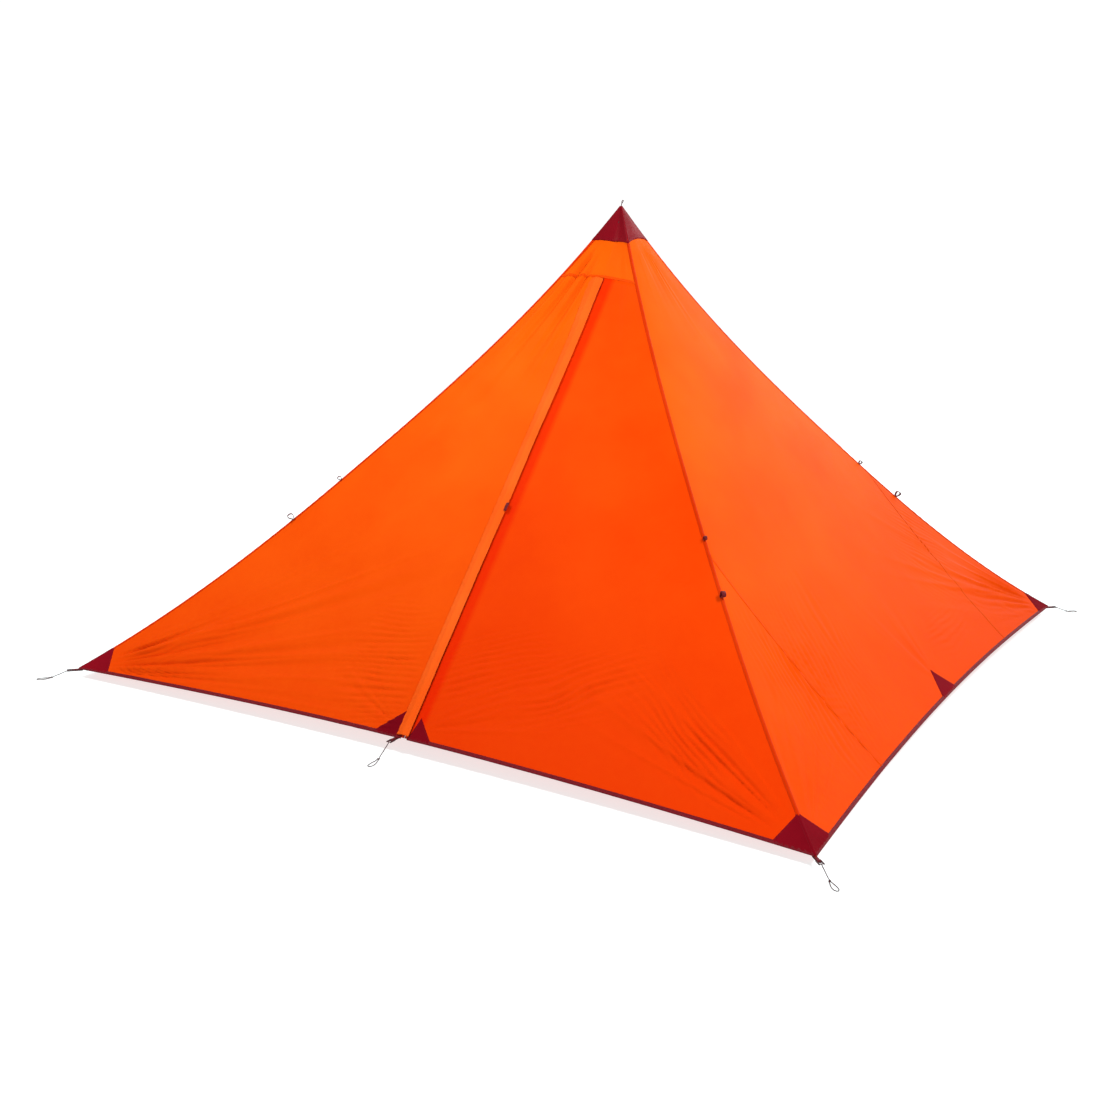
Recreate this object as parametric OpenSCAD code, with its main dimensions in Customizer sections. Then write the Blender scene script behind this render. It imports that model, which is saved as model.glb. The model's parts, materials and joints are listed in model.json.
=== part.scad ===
// Single-peak pyramid tarp shelter on one adjustable centre pole, pitched.
// Origin on the ground under the peak, +Z up, door wall facing -Y.

/* [Canopy] */
// Side of the square base, from hem corner to hem corner
base_side = 2750; // [2500:10:3000]
// Height of the fabric peak above the ground
peak_height = 1650; // [1560:10:1750]
// Height of the four hem corners above the ground
corner_lift = 30; // [26:1:34]
// Sag of the front-right, back-right, back-left and front-left ridges below a straight line
ridge_sag = [120, 103, 105, 98]; // [60:1:130]
// Sag of the middle of the right, back and left walls
wall_sag = 70; // [40:1:80]
// How far each hem curves up between its corners, measured along the wall
hem_sag = 43; // [20:1:60]
// Thickness given to a layer of cloth
cloth = 0.4; // [0.3:0.1:0.8]

/* [Door] */
// Distance of the storm flap's stitching to the left of the zip
flap_stitch = 30; // [26:1:40]
// Reach of the storm flap's free edge to the right of the zip
flap_reach = 16; // [10:1:24]
// Where the door's fold meets the top seam, to the right of the zip
fold_top = 118; // [90:1:125]
// Where the door's fold meets the hem, to the right of the zip
fold_hem = 1150; // [1000:10:1200]

/* [Ground lines] */
// Diameter of the stake cords
cord_d = 2.6; // [2:0.1:3]
// Width of the webbing at the stake points
webbing_w = 10; // [8:1:11]

/* [Pole] */
// Outside radius of the lower, middle and upper pole tubes
tube_r = [11, 9.5, 8]; // [6:0.5:13]
// Wall of the pole tubes
tube_wall = 1.1; // [0.9:0.1:1.1]
// Radius of the rubber foot
foot_r = 17; // [15:1:25]

/* [Hidden] */

$fn = 48;

// Walls are numbered 0 front, 1 right, 2 back, 3 left; ridge n is at the right-hand end of wall n.
FRONT = 0;
RIGHT = 1;
BACK = 2;
LEFT = 3;

half = base_side / 2;
corner_r = half * sqrt(2);
rise = peak_height - corner_lift;
ridge_len = norm([corner_r, rise]);
slope_len = norm([half, rise]);

// Rows run down a wall: 0 at the peak, 1 at the hem.
cap_row = 0.062;
top_row = 0.13;
panel_top_row = 0.045;
seam_x = 740;
edge_gap = 1.2;
sag_power = 2.6;
front_crease = 1.25;
zip_sag = 68;
zip_sag_loss = 0.7;
zip_sag_onset = 0.13;

// Heights above the wall surface of the layers: cloth, hem, patches
panel_lift = 0;
hem_lift = 1.1;
patch_lift = 2.4;
cap_lift = 2.2;

hem_w = 12;
patch_side = 135;
hem_patch_half = 80;
hem_patch_h = 105;
zip_edge = 12;

orange = "#F4661F";
maroon = "#7D1224";

// ---- the shape of the canopy ----

function blend(a, b, t) = a + (b - a) * t;
function sag_shape(s) = 1 - pow(abs(2 * s - 1), sag_power);

// A ridge at share s of its length: distance from the pole axis, and height
function ridge_spot(ridge, s) =
    let (drop = ridge_sag[ridge % 4] * sag_shape(s))
    [corner_r * s - drop * rise / ridge_len, peak_height - rise * s - drop * corner_r / ridge_len];

function middle_sag(wall, s) = wall == FRONT
    ? zip_sag * (1 - zip_sag_loss * s) * (1 - pow(1 - min(1, s / zip_sag_onset), sag_power))
    : wall_sag * sag_shape(s);

// The middle line of a wall: y and z
function middle_spot(wall, s) =
    let (drop = middle_sag(wall, s))
    [-half * s + drop * rise / slope_len, peak_height - rise * s - drop * half / slope_len];

function hem_share(q) = 1 - hem_sag * (1 - q * q) / slope_len;

// Half-widths of a wall at a level, to its left and right ridges
function half_width(wall, side, s) = ridge_spot(side < 0 ? wall + 3 : wall, s)[0] / sqrt(2);

// A point of a wall seen from outside: q is -1 at its left ridge, 0 in the middle, 1 at its right ridge
function wall_spot(wall, q, row, lift) =
    let (
        s = row * hem_share(q),
        left = ridge_spot(wall + 3, s),
        right = ridge_spot(wall, s),
        wl = left[0] / sqrt(2),
        wr = right[0] / sqrt(2),
        x = q < 0 ? q * wl : q * wr,
        line = function (t) [-blend(wl, wr, t), blend(left[1], right[1], t)],
        edge = line((x + wl) / (wl + wr)),
        bulge = middle_spot(wall, s) - line(wl / (wl + wr)),
        share = 1 - pow(abs(q), wall == FRONT ? front_crease : 2)
    )
    [
        x,
        edge[0] + bulge[0] * share - lift * rise / slope_len,
        edge[1] + bulge[1] * share + lift * half / slope_len
    ];

// The q of a point at distance x to the right of a wall's middle
function q_at(wall, x, row) =
    let (rough = x / half_width(wall, x, row))
    x / half_width(wall, x, row * hem_share(max(-1, min(1, rough))));

function turned(p, wall) =
    let (c = cos(90 * wall), s = sin(90 * wall))
    [c * p[0] - s * p[1], s * p[0] + c * p[1], p[2]];

// ---- solids made of points ----

// A closed sheet between two surfaces: at(i, j, side) with i to the right, j down, side 0 inside, 1 outside
module shell(across, along, at) {
    columns = across + 1;
    layer = columns * (along + 1);
    function id(i, j, side) = side * layer + j * columns + i;
    function quad(a, b, c, d) = [[a, b, c], [a, c, d]];
    points = [
        for (side = [0, 1]) for (j = [0 : along]) for (i = [0 : across])
            at(i / across, j / along, side)
    ];
    outer = [
        for (j = [0 : along - 1]) for (i = [0 : across - 1])
            each quad(id(i, j, 1), id(i + 1, j, 1), id(i + 1, j + 1, 1), id(i, j + 1, 1))
    ];
    inner = [
        for (j = [0 : along - 1]) for (i = [0 : across - 1])
            each quad(id(i, j, 0), id(i, j + 1, 0), id(i + 1, j + 1, 0), id(i + 1, j, 0))
    ];
    ends = [
        for (i = [0 : across - 1])
            each concat(
                quad(id(i + 1, 0, 1), id(i, 0, 1), id(i, 0, 0), id(i + 1, 0, 0)),
                quad(id(i, along, 1), id(i + 1, along, 1), id(i + 1, along, 0), id(i, along, 0))
            )
    ];
    sides = [
        for (j = [0 : along - 1])
            each concat(
                quad(id(across, j + 1, 1), id(across, j, 1), id(across, j, 0), id(across, j + 1, 0)),
                quad(id(0, j, 1), id(0, j + 1, 1), id(0, j + 1, 0), id(0, j, 0))
            )
    ];
    polyhedron(points = points, faces = concat(outer, inner, ends, sides), convexity = 10);
}

// A closed solid through a row of rings that each have the same number of points. From ring
// turn_back on, the faces are cut along their other diagonal, so that an inner wall follows its outer one.
module loft(rings, turn_back = 1000) {
    sides = len(rings[0]);
    last = (len(rings) - 1) * sides;
    walls = [
        for (r = [0 : len(rings) - 2]) for (i = [0 : sides - 1])
            let (a = r * sides + i, b = r * sides + (i + 1) % sides)
            each r < turn_back
                ? [[a, b, b + sides], [a, b + sides, a + sides]]
                : [[a, b, a + sides], [b, b + sides, a + sides]]
    ];
    first_cap = [for (i = [1 : sides - 2]) [0, i + 1, i]];
    last_cap = [for (i = [1 : sides - 2]) [last, last + i, last + i + 1]];
    polyhedron(points = [for (ring = rings) each ring], faces = concat(walls, first_cap, last_cap), convexity = 6);
}

// A piece of cloth on a wall: spot(i, j) gives [q, row]
module on_wall(wall, across, along, lift, spot) {
    rotate([0, 0, 90 * wall])
        shell(across, along, function (i, j, side)
            let (p = spot(i, j))
            wall_spot(wall, p[0], p[1], lift + side * cloth));
}

// ---- cloth panels ----

function inset(wall, q, row) =
    let (w = half_width(wall, q, row))
    sign(q) * (abs(q) - edge_gap / w);

function seam_q(wall, side, row) =
    let (w = half_width(wall, side, row))
    w < seam_x ? side : q_at(wall, side * seam_x, row);

module centre_panel(wall) {
    color(orange)
        on_wall(wall, 8, 20, panel_lift, function (i, j)
            let (
                row = blend(panel_top_row, 1, j),
                left = inset(wall, seam_q(wall, -1, row), row),
                right = inset(wall, seam_q(wall, 1, row), row)
            )
            [blend(left, right, i), row]);
}

// Row where a wall becomes wide enough for a gusset outside the seam
gusset_start_w = 8;
typical_row = 0.58;
function gusset_row(wall, side) =
    let (sag = ridge_sag[(side < 0 ? wall + 3 : wall) % 4] * sag_shape(typical_row))
    ((seam_x + gusset_start_w) * sqrt(2) + sag * rise / ridge_len) / corner_r;

module gusset(wall, side) {
    color(orange)
        on_wall(wall, 5, 10, panel_lift, function (i, j)
            let (
                row = blend(gusset_row(wall, side), 1, j),
                w = half_width(wall, side, row),
                seam = q_at(wall, side * (seam_x + edge_gap), row),
                ridge = side * (1 - edge_gap / w),
                low = min(seam, ridge),
                high = max(seam, ridge)
            )
            [blend(low, high, i), row]);
}

module front_left_panel() {
    color(orange)
        on_wall(FRONT, 9, 18, panel_lift, function (i, j)
            let (row = blend(top_row, 1, j), w = half_width(FRONT, -1, row))
            [blend(-1 + edge_gap / w, q_at(FRONT, -zip_edge, row), i), row]);
}

module front_top_panel() {
    color(orange)
        on_wall(FRONT, 6, 3, panel_lift, function (i, j)
            let (row = blend(panel_top_row, top_row - 0.002, j), w = half_width(FRONT, 1, row))
            [blend(-1, 1, i) * (1 - edge_gap / w), row]);
}

// Straight line along which the open door folds back
fold_gap = 2.5;
function fold_x(row) = blend(fold_top, fold_hem, (row - top_row) / (1 - top_row));

module door_panel() {
    color(orange)
        on_wall(FRONT, 9, 18, panel_lift, function (i, j)
            let (row = blend(top_row, 1, j))
            [blend(q_at(FRONT, zip_edge, row), q_at(FRONT, fold_x(row) - fold_gap, row), i), row]);
}

module front_right_panel() {
    color(orange)
        on_wall(FRONT, 4, 18, panel_lift, function (i, j)
            let (row = blend(top_row, 1, j), w = half_width(FRONT, 1, row))
            [blend(q_at(FRONT, fold_x(row) + fold_gap, row), 1 - edge_gap / w, i), row]);
}

module right_panel() { centre_panel(RIGHT); }
module right_front_gusset() { gusset(RIGHT, -1); }
module right_back_gusset() { gusset(RIGHT, 1); }
module back_panel() { centre_panel(BACK); }
module back_right_gusset() { gusset(BACK, -1); }
module back_left_gusset() { gusset(BACK, 1); }
module left_panel() { centre_panel(LEFT); }
module left_back_gusset() { gusset(LEFT, -1); }
module left_front_gusset() { gusset(LEFT, 1); }

// Peak cap: a hollow four-sided hood over the top of the panels
cap_tip_row = 0.002;
cap_stations = [-0.94, -0.5, 0, 0.5, 0.94];

function cap_ring(row, lift) = [
    for (wall = [0 : 3]) for (q = cap_stations) turned(wall_spot(wall, q, row, lift), wall)
];

module peak_cap() {
    steps = 5;
    outer = [for (j = [0 : steps]) cap_ring(blend(cap_tip_row, cap_row, j / steps), cap_lift + cloth)];
    inner = [for (j = [steps : -1 : 0]) cap_ring(blend(cap_tip_row + 0.003, cap_row, j / steps), cap_lift)];
    color(maroon) loft(concat(outer, inner), steps + 1);
}

// ---- patches ----

// Half of a corner patch, on the given side of a wall
module corner_half(wall, side) {
    tip_cut = 0.05;
    reach_row = patch_side / ridge_len;
    reach_q = patch_side / half;
    on_wall(wall, 3, 4, patch_lift, function (i, j)
        let (
            from_ridge = side > 0 ? 1 - i : i,
            size = blend(1, tip_cut, j),
            q = 1 - edge_gap / half - reach_q * from_ridge * size,
            row = 1 - reach_row * (1 - from_ridge) * size
        )
        [side * q, row]);
}

module corner_patch(ridge) {
    color(maroon) {
        corner_half(ridge, 1);
        corner_half((ridge + 1) % 4, -1);
    }
}

// Triangle on a hem, from x = left to x = right, with its point at x = top, height h up the wall
module hem_triangle(wall, left, right, top, h) {
    tip_cut = 0.04;
    color(maroon)
        on_wall(wall, 4, 4, patch_lift, function (i, j)
            let (
                size = blend(tip_cut, 1, j),
                x = blend(top, blend(left, right, i), size),
                row = 1 - (1 - size) * h / slope_len
            )
            [q_at(wall, x, row), row]);
}

module corner_patch_front_right() { corner_patch(0); }
module corner_patch_back_right() { corner_patch(1); }
module corner_patch_back_left() { corner_patch(2); }
module corner_patch_front_left() { corner_patch(3); }

module right_hem_patch() { hem_triangle(RIGHT, -hem_patch_half, hem_patch_half, 0, hem_patch_h); }
module back_hem_patch() { hem_triangle(BACK, -hem_patch_half, hem_patch_half, 0, hem_patch_h); }
module left_hem_patch() { hem_triangle(LEFT, -hem_patch_half, hem_patch_half, 0, hem_patch_h); }
module door_patch_left() { hem_triangle(FRONT, -124, -zip_edge, -zip_edge, 110); }
module door_patch_right() { hem_triangle(FRONT, zip_edge, 106, 32, 80); }

// ---- hems: a strip of binding over the edge of the cloth, from x = left to x = right ----

module hem(wall, left, right) {
    color(maroon)
        on_wall(wall, 16, 1, hem_lift, function (i, j)
            [blend(left, right, i) / half, 1 - (1 - j) * hem_w / slope_len + j * 0.0005]);
}

hem_end = half - 3;
hem_fold_gap = 8;

module hem_front_left() { hem(FRONT, -hem_end, -zip_edge); }
module hem_door() { hem(FRONT, zip_edge, fold_hem - hem_fold_gap); }
module hem_front_right() { hem(FRONT, fold_hem + hem_fold_gap, hem_end); }
module hem_right() { hem(RIGHT, -hem_end, hem_end); }
module hem_back() { hem(BACK, -hem_end, hem_end); }
module hem_left() { hem(LEFT, -hem_end, hem_end); }

// ---- the zip line ----
// Straight line up the middle of the front wall; its frame has X right, Y up the line, Z outward.

zip_foot = middle_spot(FRONT, hem_share(0));
zip_head = middle_spot(FRONT, 0.22);
zip_angle = atan2(zip_head[1] - zip_foot[1], zip_head[0] - zip_foot[0]);
zip_len = norm(middle_spot(FRONT, top_row) - zip_foot);

// Thickness and heights of the zip's parts above the zip line
zip_end = 4;
coil_z = -1.4;
tape_z = -1.7;
tape_t = 0.6;
tape_w = 14;
chain_gap = 0.8;
coil_w = 2.4;
coil_h = 2.4;

module on_zip(up = 0) {
    translate([0, zip_foot[0], zip_foot[1]])
        rotate([zip_angle, 0, 0])
            translate([0, up, 0])
                children();
}

module zip_chain(side) {
    color("#2B2B2E")
        on_zip()
            for (strip = [[chain_gap, tape_w, tape_z, tape_t], [chain_gap, chain_gap + coil_w, coil_z, coil_h]])
                translate([side > 0 ? strip[0] : -strip[1], zip_end, strip[2]])
                    cube([strip[1] - strip[0], zip_len - 3 * zip_end, strip[3]]);
}

module zip_chain_left() { zip_chain(-1); }
module zip_chain_right() { zip_chain(1); }

slider_up = 36;
slider_len = 12;
slider_left = -7;
slider_right = 0.5;
bail_z = 5;
bail_r = 0.8;
bail_up = slider_up + 6;

// Slider: hooks round the coil of the fixed half of the zip
module zip_slider() {
    plate_t = 1;
    upper_z = 1.6;
    lower_z = -3.2;
    width = slider_right - slider_left;
    color("#3A3A3D")
        on_zip() {
            translate([slider_left, slider_up, upper_z])
                cube([width, slider_len, plate_t]);
            translate([slider_left, slider_up, lower_z])
                cube([width, slider_len, plate_t]);
            translate([slider_right - 1, slider_up, lower_z])
                cube([1, slider_len, upper_z - lower_z + plate_t]);
            for (x = [slider_left, slider_right - 1.2])
                translate([x, bail_up - 1, upper_z + plate_t / 2])
                    cube([1.2, 2, bail_z - upper_z]);
            translate([slider_left, bail_up, bail_z])
                rotate([0, 90, 0])
                    cylinder(r = bail_r, h = width);
        }
}

// Pull tab: an eye round the slider's bar, and a flat tongue pointing down the zip
module zip_pull() {
    eye_r = 1.9;
    eye_w = 4;
    tongue = 24;
    x = (slider_left + slider_right) / 2;
    color("#7D1224")
        on_zip()
            translate([x, bail_up, bail_z])
                difference() {
                    union() {
                        rotate([0, 90, 0])
                            cylinder(r = eye_r, h = eye_w, center = true);
                        translate([-eye_w / 2, -tongue, -0.6])
                            cube([eye_w, tongue - bail_r - 0.4, 1.2]);
                    }
                    rotate([0, 90, 0])
                        cylinder(r = bail_r + 0.2, h = eye_w + 1, center = true);
                }
}

// Storm flap: a crowned strip over the zip, sewn on its left edge
flap_height = 9;
flap_foot = 10;

function flap_spot(i, up, lift) =
    let (
        x = blend(-flap_stitch, flap_reach, i),
        crown = 2 + flap_height * sin(180 * min(1, 0.06 + i * 0.86)),
        z = crown + lift,
        y = up
    )
    [
        x,
        zip_foot[0] + y * cos(zip_angle) - z * sin(zip_angle),
        zip_foot[1] + y * sin(zip_angle) + z * cos(zip_angle)
    ];

module storm_flap() {
    color("#F87A30")
        shell(8, 12, function (i, j, side)
            flap_spot(i, blend(zip_len - 6, flap_foot, j), side * cloth));
}

// Small tab that closes the flap's free edge, a third of the way up
module flap_tab() {
    tab_up = 830;
    tab_len = 30;
    color(maroon)
        on_zip(tab_up)
            translate([flap_reach - 4, 0, 9.5])
                cube([12, tab_len, 1.6]);
}

// ---- webbing loops on the ridges ----

// A fin of folded webbing standing on a ridge at distance r from the axis
module ridge_loop(ridge, r, base, height) {
    s = r / corner_r + 0.04 * sag_shape(r / corner_r);
    spot = ridge_spot(ridge, s);
    hole_r = height / 5;
    rotate([0, 0, 90 * ridge - 45])
        translate([spot[0], 0, spot[1] + 5])
            rotate([0, atan2(rise, corner_r), 0])
                rotate([90, 0, 0])
                    linear_extrude(height = 2, center = true)
                        difference() {
                            polygon([[-base / 2, 0], [base / 2, 0], [base / 5, height], [-base / 5, height]]);
                            translate([0, height * 0.6])
                                circle(r = hole_r);
                        }
}

module ridge_loops_upper() {
    color(maroon)
        for (ridge = [0 : 3]) ridge_loop(ridge, 1000, 20, 14);
}

module ridge_loops_lower() {
    color(maroon)
        for (ridge = [0 : 3]) ridge_loop(ridge, 1170, 32, 22);
}

// ---- stake points: four corners and the foot of the door ----
// Each stake frame has X pointing away from the tent, Z up from the ground.

door_stake_x = -flap_stitch;
door_tip = wall_spot(FRONT, q_at(FRONT, door_stake_x, 1), 1, 0);
STAKES = [
    [-45, corner_r, corner_lift, 0],
    [45, corner_r, corner_lift, 0],
    [135, corner_r, corner_lift, 0],
    [225, corner_r, corner_lift, 0],
    [-90, -door_tip[1], door_tip[2], door_stake_x]
];
DOOR_STAKE = 4;

// Places children at a stake point's tip, on the ground below it
module at_stake(n) {
    rotate([0, 0, STAKES[n][0]])
        translate([STAKES[n][1], STAKES[n][3], 0])
            children();
}

function tip_z(n) = STAKES[n][2] - 3.6;

loop_in = 17;
loop_out = 20;
loop_t = 1.5;
loop_half_h = 3;

module stadium(x0, x1, r) {
    translate([x0 + r, -r])
        square([x1 - x0 - 2 * r, 2 * r]);
    for (x = [x0 + r, x1 - r])
        translate([x, 0])
            circle(r = r);
}

module stake_webbing() {
    color(maroon)
        for (n = [0 : DOOR_STAKE])
            at_stake(n)
                translate([0, 0, tip_z(n)])
                    rotate([90, 0, 0])
                        linear_extrude(height = webbing_w, center = true)
                            difference() {
                                stadium(-loop_in, loop_out, loop_half_h);
                                stadium(-loop_in + loop_t, loop_out - loop_t, loop_half_h - loop_t);
                            }
}

// Ladder-shaped line adjuster: two rails and three bars
adjuster_x = 12;
adjuster_len = 25;
bar_x = [13.5, 24, 32.5];
bar_w = 3;
bar_t = 2.2;
rail_w = 2.5;
rail_t = 4;

module line_adjusters() {
    rail_y = webbing_w / 2 + 0.8;
    color("#1F1F22")
        for (n = [0 : DOOR_STAKE])
            at_stake(n)
                translate([0, 0, tip_z(n)]) {
                    for (side = [-1, 1])
                        translate([adjuster_x, side * (rail_y + rail_w / 2) - rail_w / 2, -rail_t / 2])
                            cube([adjuster_len, rail_w, rail_t]);
                    for (x = bar_x)
                        translate([x, -rail_y - 0.5, -bar_t / 2])
                            cube([bar_w, 2 * rail_y + 1, bar_t]);
                }
}

// Route of a stake cord from its adjuster to the knot and round the stake loop: out, sideways, up
CORD_ROUTE = [
    [34, 0, 26], [43, 0, 22], [54, 0, 18], [66, 0, 13], [78, 0, 9],
    [88, 1.5, 5], [98, 4, 3], [110, 7, 2], [122, 8, 1.3], [133, 6, 1.3],
    [138, 0, 1.3], [133, -6, 1.3], [122, -8, 1.3], [110, -7, 2], [98, -4, 3], [89, -2.5, 5]
];
CORD_SIDES = 8;
cord_low = cord_d / 2;
knot_x = 88;
knot_r = 4.2;

// Heights are stretched so that the cord starts level with its adjuster
function cord_z(n, z) = cord_low + max(0, z - cord_low) * (tip_z(n) - cord_low) / (CORD_ROUTE[0][2] - cord_low);
function cord_points(n) = [for (p = CORD_ROUTE) [p[0], p[1], cord_z(n, p[2])]];
function unit(v) = v / norm(v);

function tube_ring(points, i) =
    let (
        last = len(points) - 1,
        ahead = unit(points[min(last, i + 1)] - points[max(0, i - 1)]),
        across = unit(cross(ahead, [0, 0, 1])),
        up = cross(across, ahead)
    )
    [
        for (k = [0 : CORD_SIDES - 1])
            let (a = 360 * (k + 0.5) / CORD_SIDES)
            points[i] + cord_d / 2 * (cos(a) * across + sin(a) * up)
    ];

module cord(n) {
    points = cord_points(n);
    color("#8E1B2A")
        at_stake(n)
            loft([for (i = [0 : len(points) - 1]) tube_ring(points, i)]);
}

module cord_front_right() { cord(0); }
module cord_back_right() { cord(1); }
module cord_back_left() { cord(2); }
module cord_front_left() { cord(3); }
module cord_door() { cord(DOOR_STAKE); }

module stake_knots() {
    color("#8E1B2A")
        for (n = [0 : DOOR_STAKE])
            at_stake(n)
                translate([knot_x, 0, max(knot_r, cord_z(n, 5))])
                    sphere(r = knot_r);
}

// ---- the peak ----

cup_top = peak_height - 58;
cup_len = 32;
cup_r = 16;
cup_bore_r = tube_r[2] + 1.2;
cup_bore_len = 22;

module peak_loop() {
    loop_r = 7;
    color("#8E1B2A")
        translate([0, 0, peak_height + 10])
            rotate([90, 0, 45])
                rotate_extrude()
                    translate([loop_r, 0])
                        circle(r = cord_d / 2);
}

module peak_strap() {
    color(maroon)
        translate([-6, -0.8, cup_top])
            cube([12, 1.6, 38]);
}

module pole_cup() {
    color("#26262A")
        translate([0, 0, cup_top - cup_len])
            difference() {
                cylinder(r = cup_r, h = cup_len);
                translate([0, 0, -1])
                    cylinder(r = cup_bore_r, h = cup_bore_len + 1);
            }
}

// ---- the adjustable pole ----

tip_top = cup_top - cup_len + cup_bore_len - 0.3;
tip_len = 35;
tip_wall = 0.7;
upper_top = tip_top - 4;
tube_overlap = 62;
foot_socket = 10;
foot_h = 28;
middle_bottom = 560;
lower_top = middle_bottom + tube_overlap;
upper_bottom = 1090;
middle_top = upper_bottom + tube_overlap;
fit = 0.05;

module tube(r, bottom, top) {
    color("#B9BCC0")
        translate([0, 0, bottom])
            difference() {
                cylinder(r = r, h = top - bottom);
                translate([0, 0, -1])
                    cylinder(r = r - tube_wall, h = top - bottom + 2);
            }
}

module pole_lower_tube() { tube(tube_r[0], foot_socket, lower_top); }
module pole_middle_tube() { tube(tube_r[1], middle_bottom, middle_top); }
module pole_upper_tube() { tube(tube_r[2], upper_bottom, upper_top); }

module pole_tip() {
    color("#1B1B1D")
        translate([0, 0, tip_top - tip_len])
            difference() {
                cylinder(r = tube_r[2] + tip_wall, h = tip_len);
                translate([0, 0, -1])
                    cylinder(r = tube_r[2] + fit, h = upper_top - tip_top + tip_len + 1);
            }
}

module pole_foot() {
    color("#1B1B1D")
        difference() {
            union() {
                cylinder(r = foot_r, h = 6);
                cylinder(r = tube_r[0] + 2.5, h = foot_h);
            }
            translate([0, 0, foot_socket])
                cylinder(r = tube_r[0] + fit, h = foot_h);
        }
}

// Lever clamp round the top end of a tube of radius r that ends at height top
clamp_len = 34;
clamp_wall = 3.2;
ear_h = 8;
ear_reach = 9;
pin_x = 5;
pin_r = 2;
knuckle_r = 3.8;

module clamp_collar(r, top) {
    outer = r + clamp_wall;
    color("#2A2A2E")
        translate([0, 0, top + 4 - clamp_len])
            difference() {
                union() {
                    cylinder(r = outer, h = clamp_len);
                    for (z = [0, clamp_len - ear_h])
                        translate([outer - 2, -4, z])
                            cube([ear_reach + 2, 8, ear_h]);
                }
                translate([0, 0, -1])
                    cylinder(r = r + fit, h = clamp_len + 2);
                translate([outer + pin_x, 0, -1])
                    cylinder(r = pin_r, h = clamp_len + 2);
            }
}

module clamp_pin(r, top) {
    color("#C8CACD")
        translate([r + clamp_wall + pin_x, 0, top + 4 - clamp_len])
            cylinder(r = pin_r - fit, h = clamp_len);
}

// Lever: a knuckle on the pin and an arm that lies round the collar
module clamp_lever(r, top) {
    outer = r + clamp_wall;
    gap = 0.8;
    arm_t = 3.6;
    arm_h = clamp_len - 2 * ear_h - 1;
    far = outer + arm_t + 4;
    color("#7D1224")
        translate([0, 0, top + 4 - clamp_len + ear_h + 0.5])
            difference() {
                union() {
                    translate([outer + pin_x, 0, 0])
                        cylinder(r = knuckle_r, h = arm_h);
                    intersection() {
                        difference() {
                            cylinder(r = outer + gap + arm_t, h = arm_h);
                            translate([0, 0, -1])
                                cylinder(r = outer + gap, h = arm_h + 2);
                        }
                        linear_extrude(height = arm_h)
                            polygon([[0, 0], [far, far * 0.1], [far, far], [-far, far], [-far, far * 0.35]]);
                    }
                }
                translate([outer + pin_x, 0, -1])
                    cylinder(r = pin_r + 0.1, h = arm_h + 2);
            }
}

module upper_clamp() { clamp_collar(tube_r[1], middle_top); }
module upper_lever() { clamp_lever(tube_r[1], middle_top); }
module upper_lever_pin() { clamp_pin(tube_r[1], middle_top); }
module lower_clamp() { clamp_collar(tube_r[0], lower_top); }
module lower_lever() { clamp_lever(tube_r[0], lower_top); }
module lower_lever_pin() { clamp_pin(tube_r[0], lower_top); }

front_left_panel();
front_top_panel();
front_right_panel();
door_panel();
right_panel();
right_front_gusset();
right_back_gusset();
back_panel();
back_right_gusset();
back_left_gusset();
left_panel();
left_back_gusset();
left_front_gusset();
peak_cap();
corner_patch_front_right();
corner_patch_back_right();
corner_patch_back_left();
corner_patch_front_left();
right_hem_patch();
back_hem_patch();
left_hem_patch();
door_patch_left();
door_patch_right();
hem_front_left();
hem_door();
hem_front_right();
hem_right();
hem_back();
hem_left();
storm_flap();
flap_tab();
zip_chain_left();
zip_chain_right();
zip_slider();
zip_pull();
ridge_loops_upper();
ridge_loops_lower();
stake_webbing();
line_adjusters();
stake_knots();
cord_front_right();
cord_back_right();
cord_back_left();
cord_front_left();
cord_door();
peak_loop();
peak_strap();
pole_cup();
pole_tip();
pole_upper_tube();
pole_middle_tube();
pole_lower_tube();
pole_foot();
upper_clamp();
upper_lever();
upper_lever_pin();
lower_clamp();
lower_lever();
lower_lever_pin();
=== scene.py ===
"""Looks of a pitched single-peak pyramid tarp shelter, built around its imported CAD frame.

Lengths are in metres. A point on a wall is given by q, from -1 at the wall's left ridge to 1 at its right
ridge, and row, from 0 at the peak to 1 at the hem; x is its distance to the right of the wall's middle.
"""

import json
import math

import bmesh
import bpy
import numpy as np
from mathutils import Matrix, Vector


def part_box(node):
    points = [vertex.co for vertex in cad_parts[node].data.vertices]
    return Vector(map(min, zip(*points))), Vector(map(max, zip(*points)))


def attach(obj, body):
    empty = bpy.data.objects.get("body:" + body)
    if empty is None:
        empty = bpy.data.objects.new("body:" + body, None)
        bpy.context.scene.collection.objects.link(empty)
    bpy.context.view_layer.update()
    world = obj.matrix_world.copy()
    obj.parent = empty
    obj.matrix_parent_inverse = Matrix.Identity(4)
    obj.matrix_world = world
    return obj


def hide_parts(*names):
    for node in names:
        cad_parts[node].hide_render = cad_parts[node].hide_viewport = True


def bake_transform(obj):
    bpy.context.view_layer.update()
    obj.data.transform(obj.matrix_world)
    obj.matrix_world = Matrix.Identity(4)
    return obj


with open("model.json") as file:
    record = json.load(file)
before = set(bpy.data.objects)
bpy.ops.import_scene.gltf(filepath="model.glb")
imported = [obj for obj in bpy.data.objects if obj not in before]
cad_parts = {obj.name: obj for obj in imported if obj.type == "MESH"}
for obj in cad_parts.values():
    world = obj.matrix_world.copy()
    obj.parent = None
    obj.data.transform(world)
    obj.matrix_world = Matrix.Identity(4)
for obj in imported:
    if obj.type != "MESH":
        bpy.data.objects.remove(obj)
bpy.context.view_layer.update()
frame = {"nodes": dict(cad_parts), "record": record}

# ---- camera, at the photograph's angle ----

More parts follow.
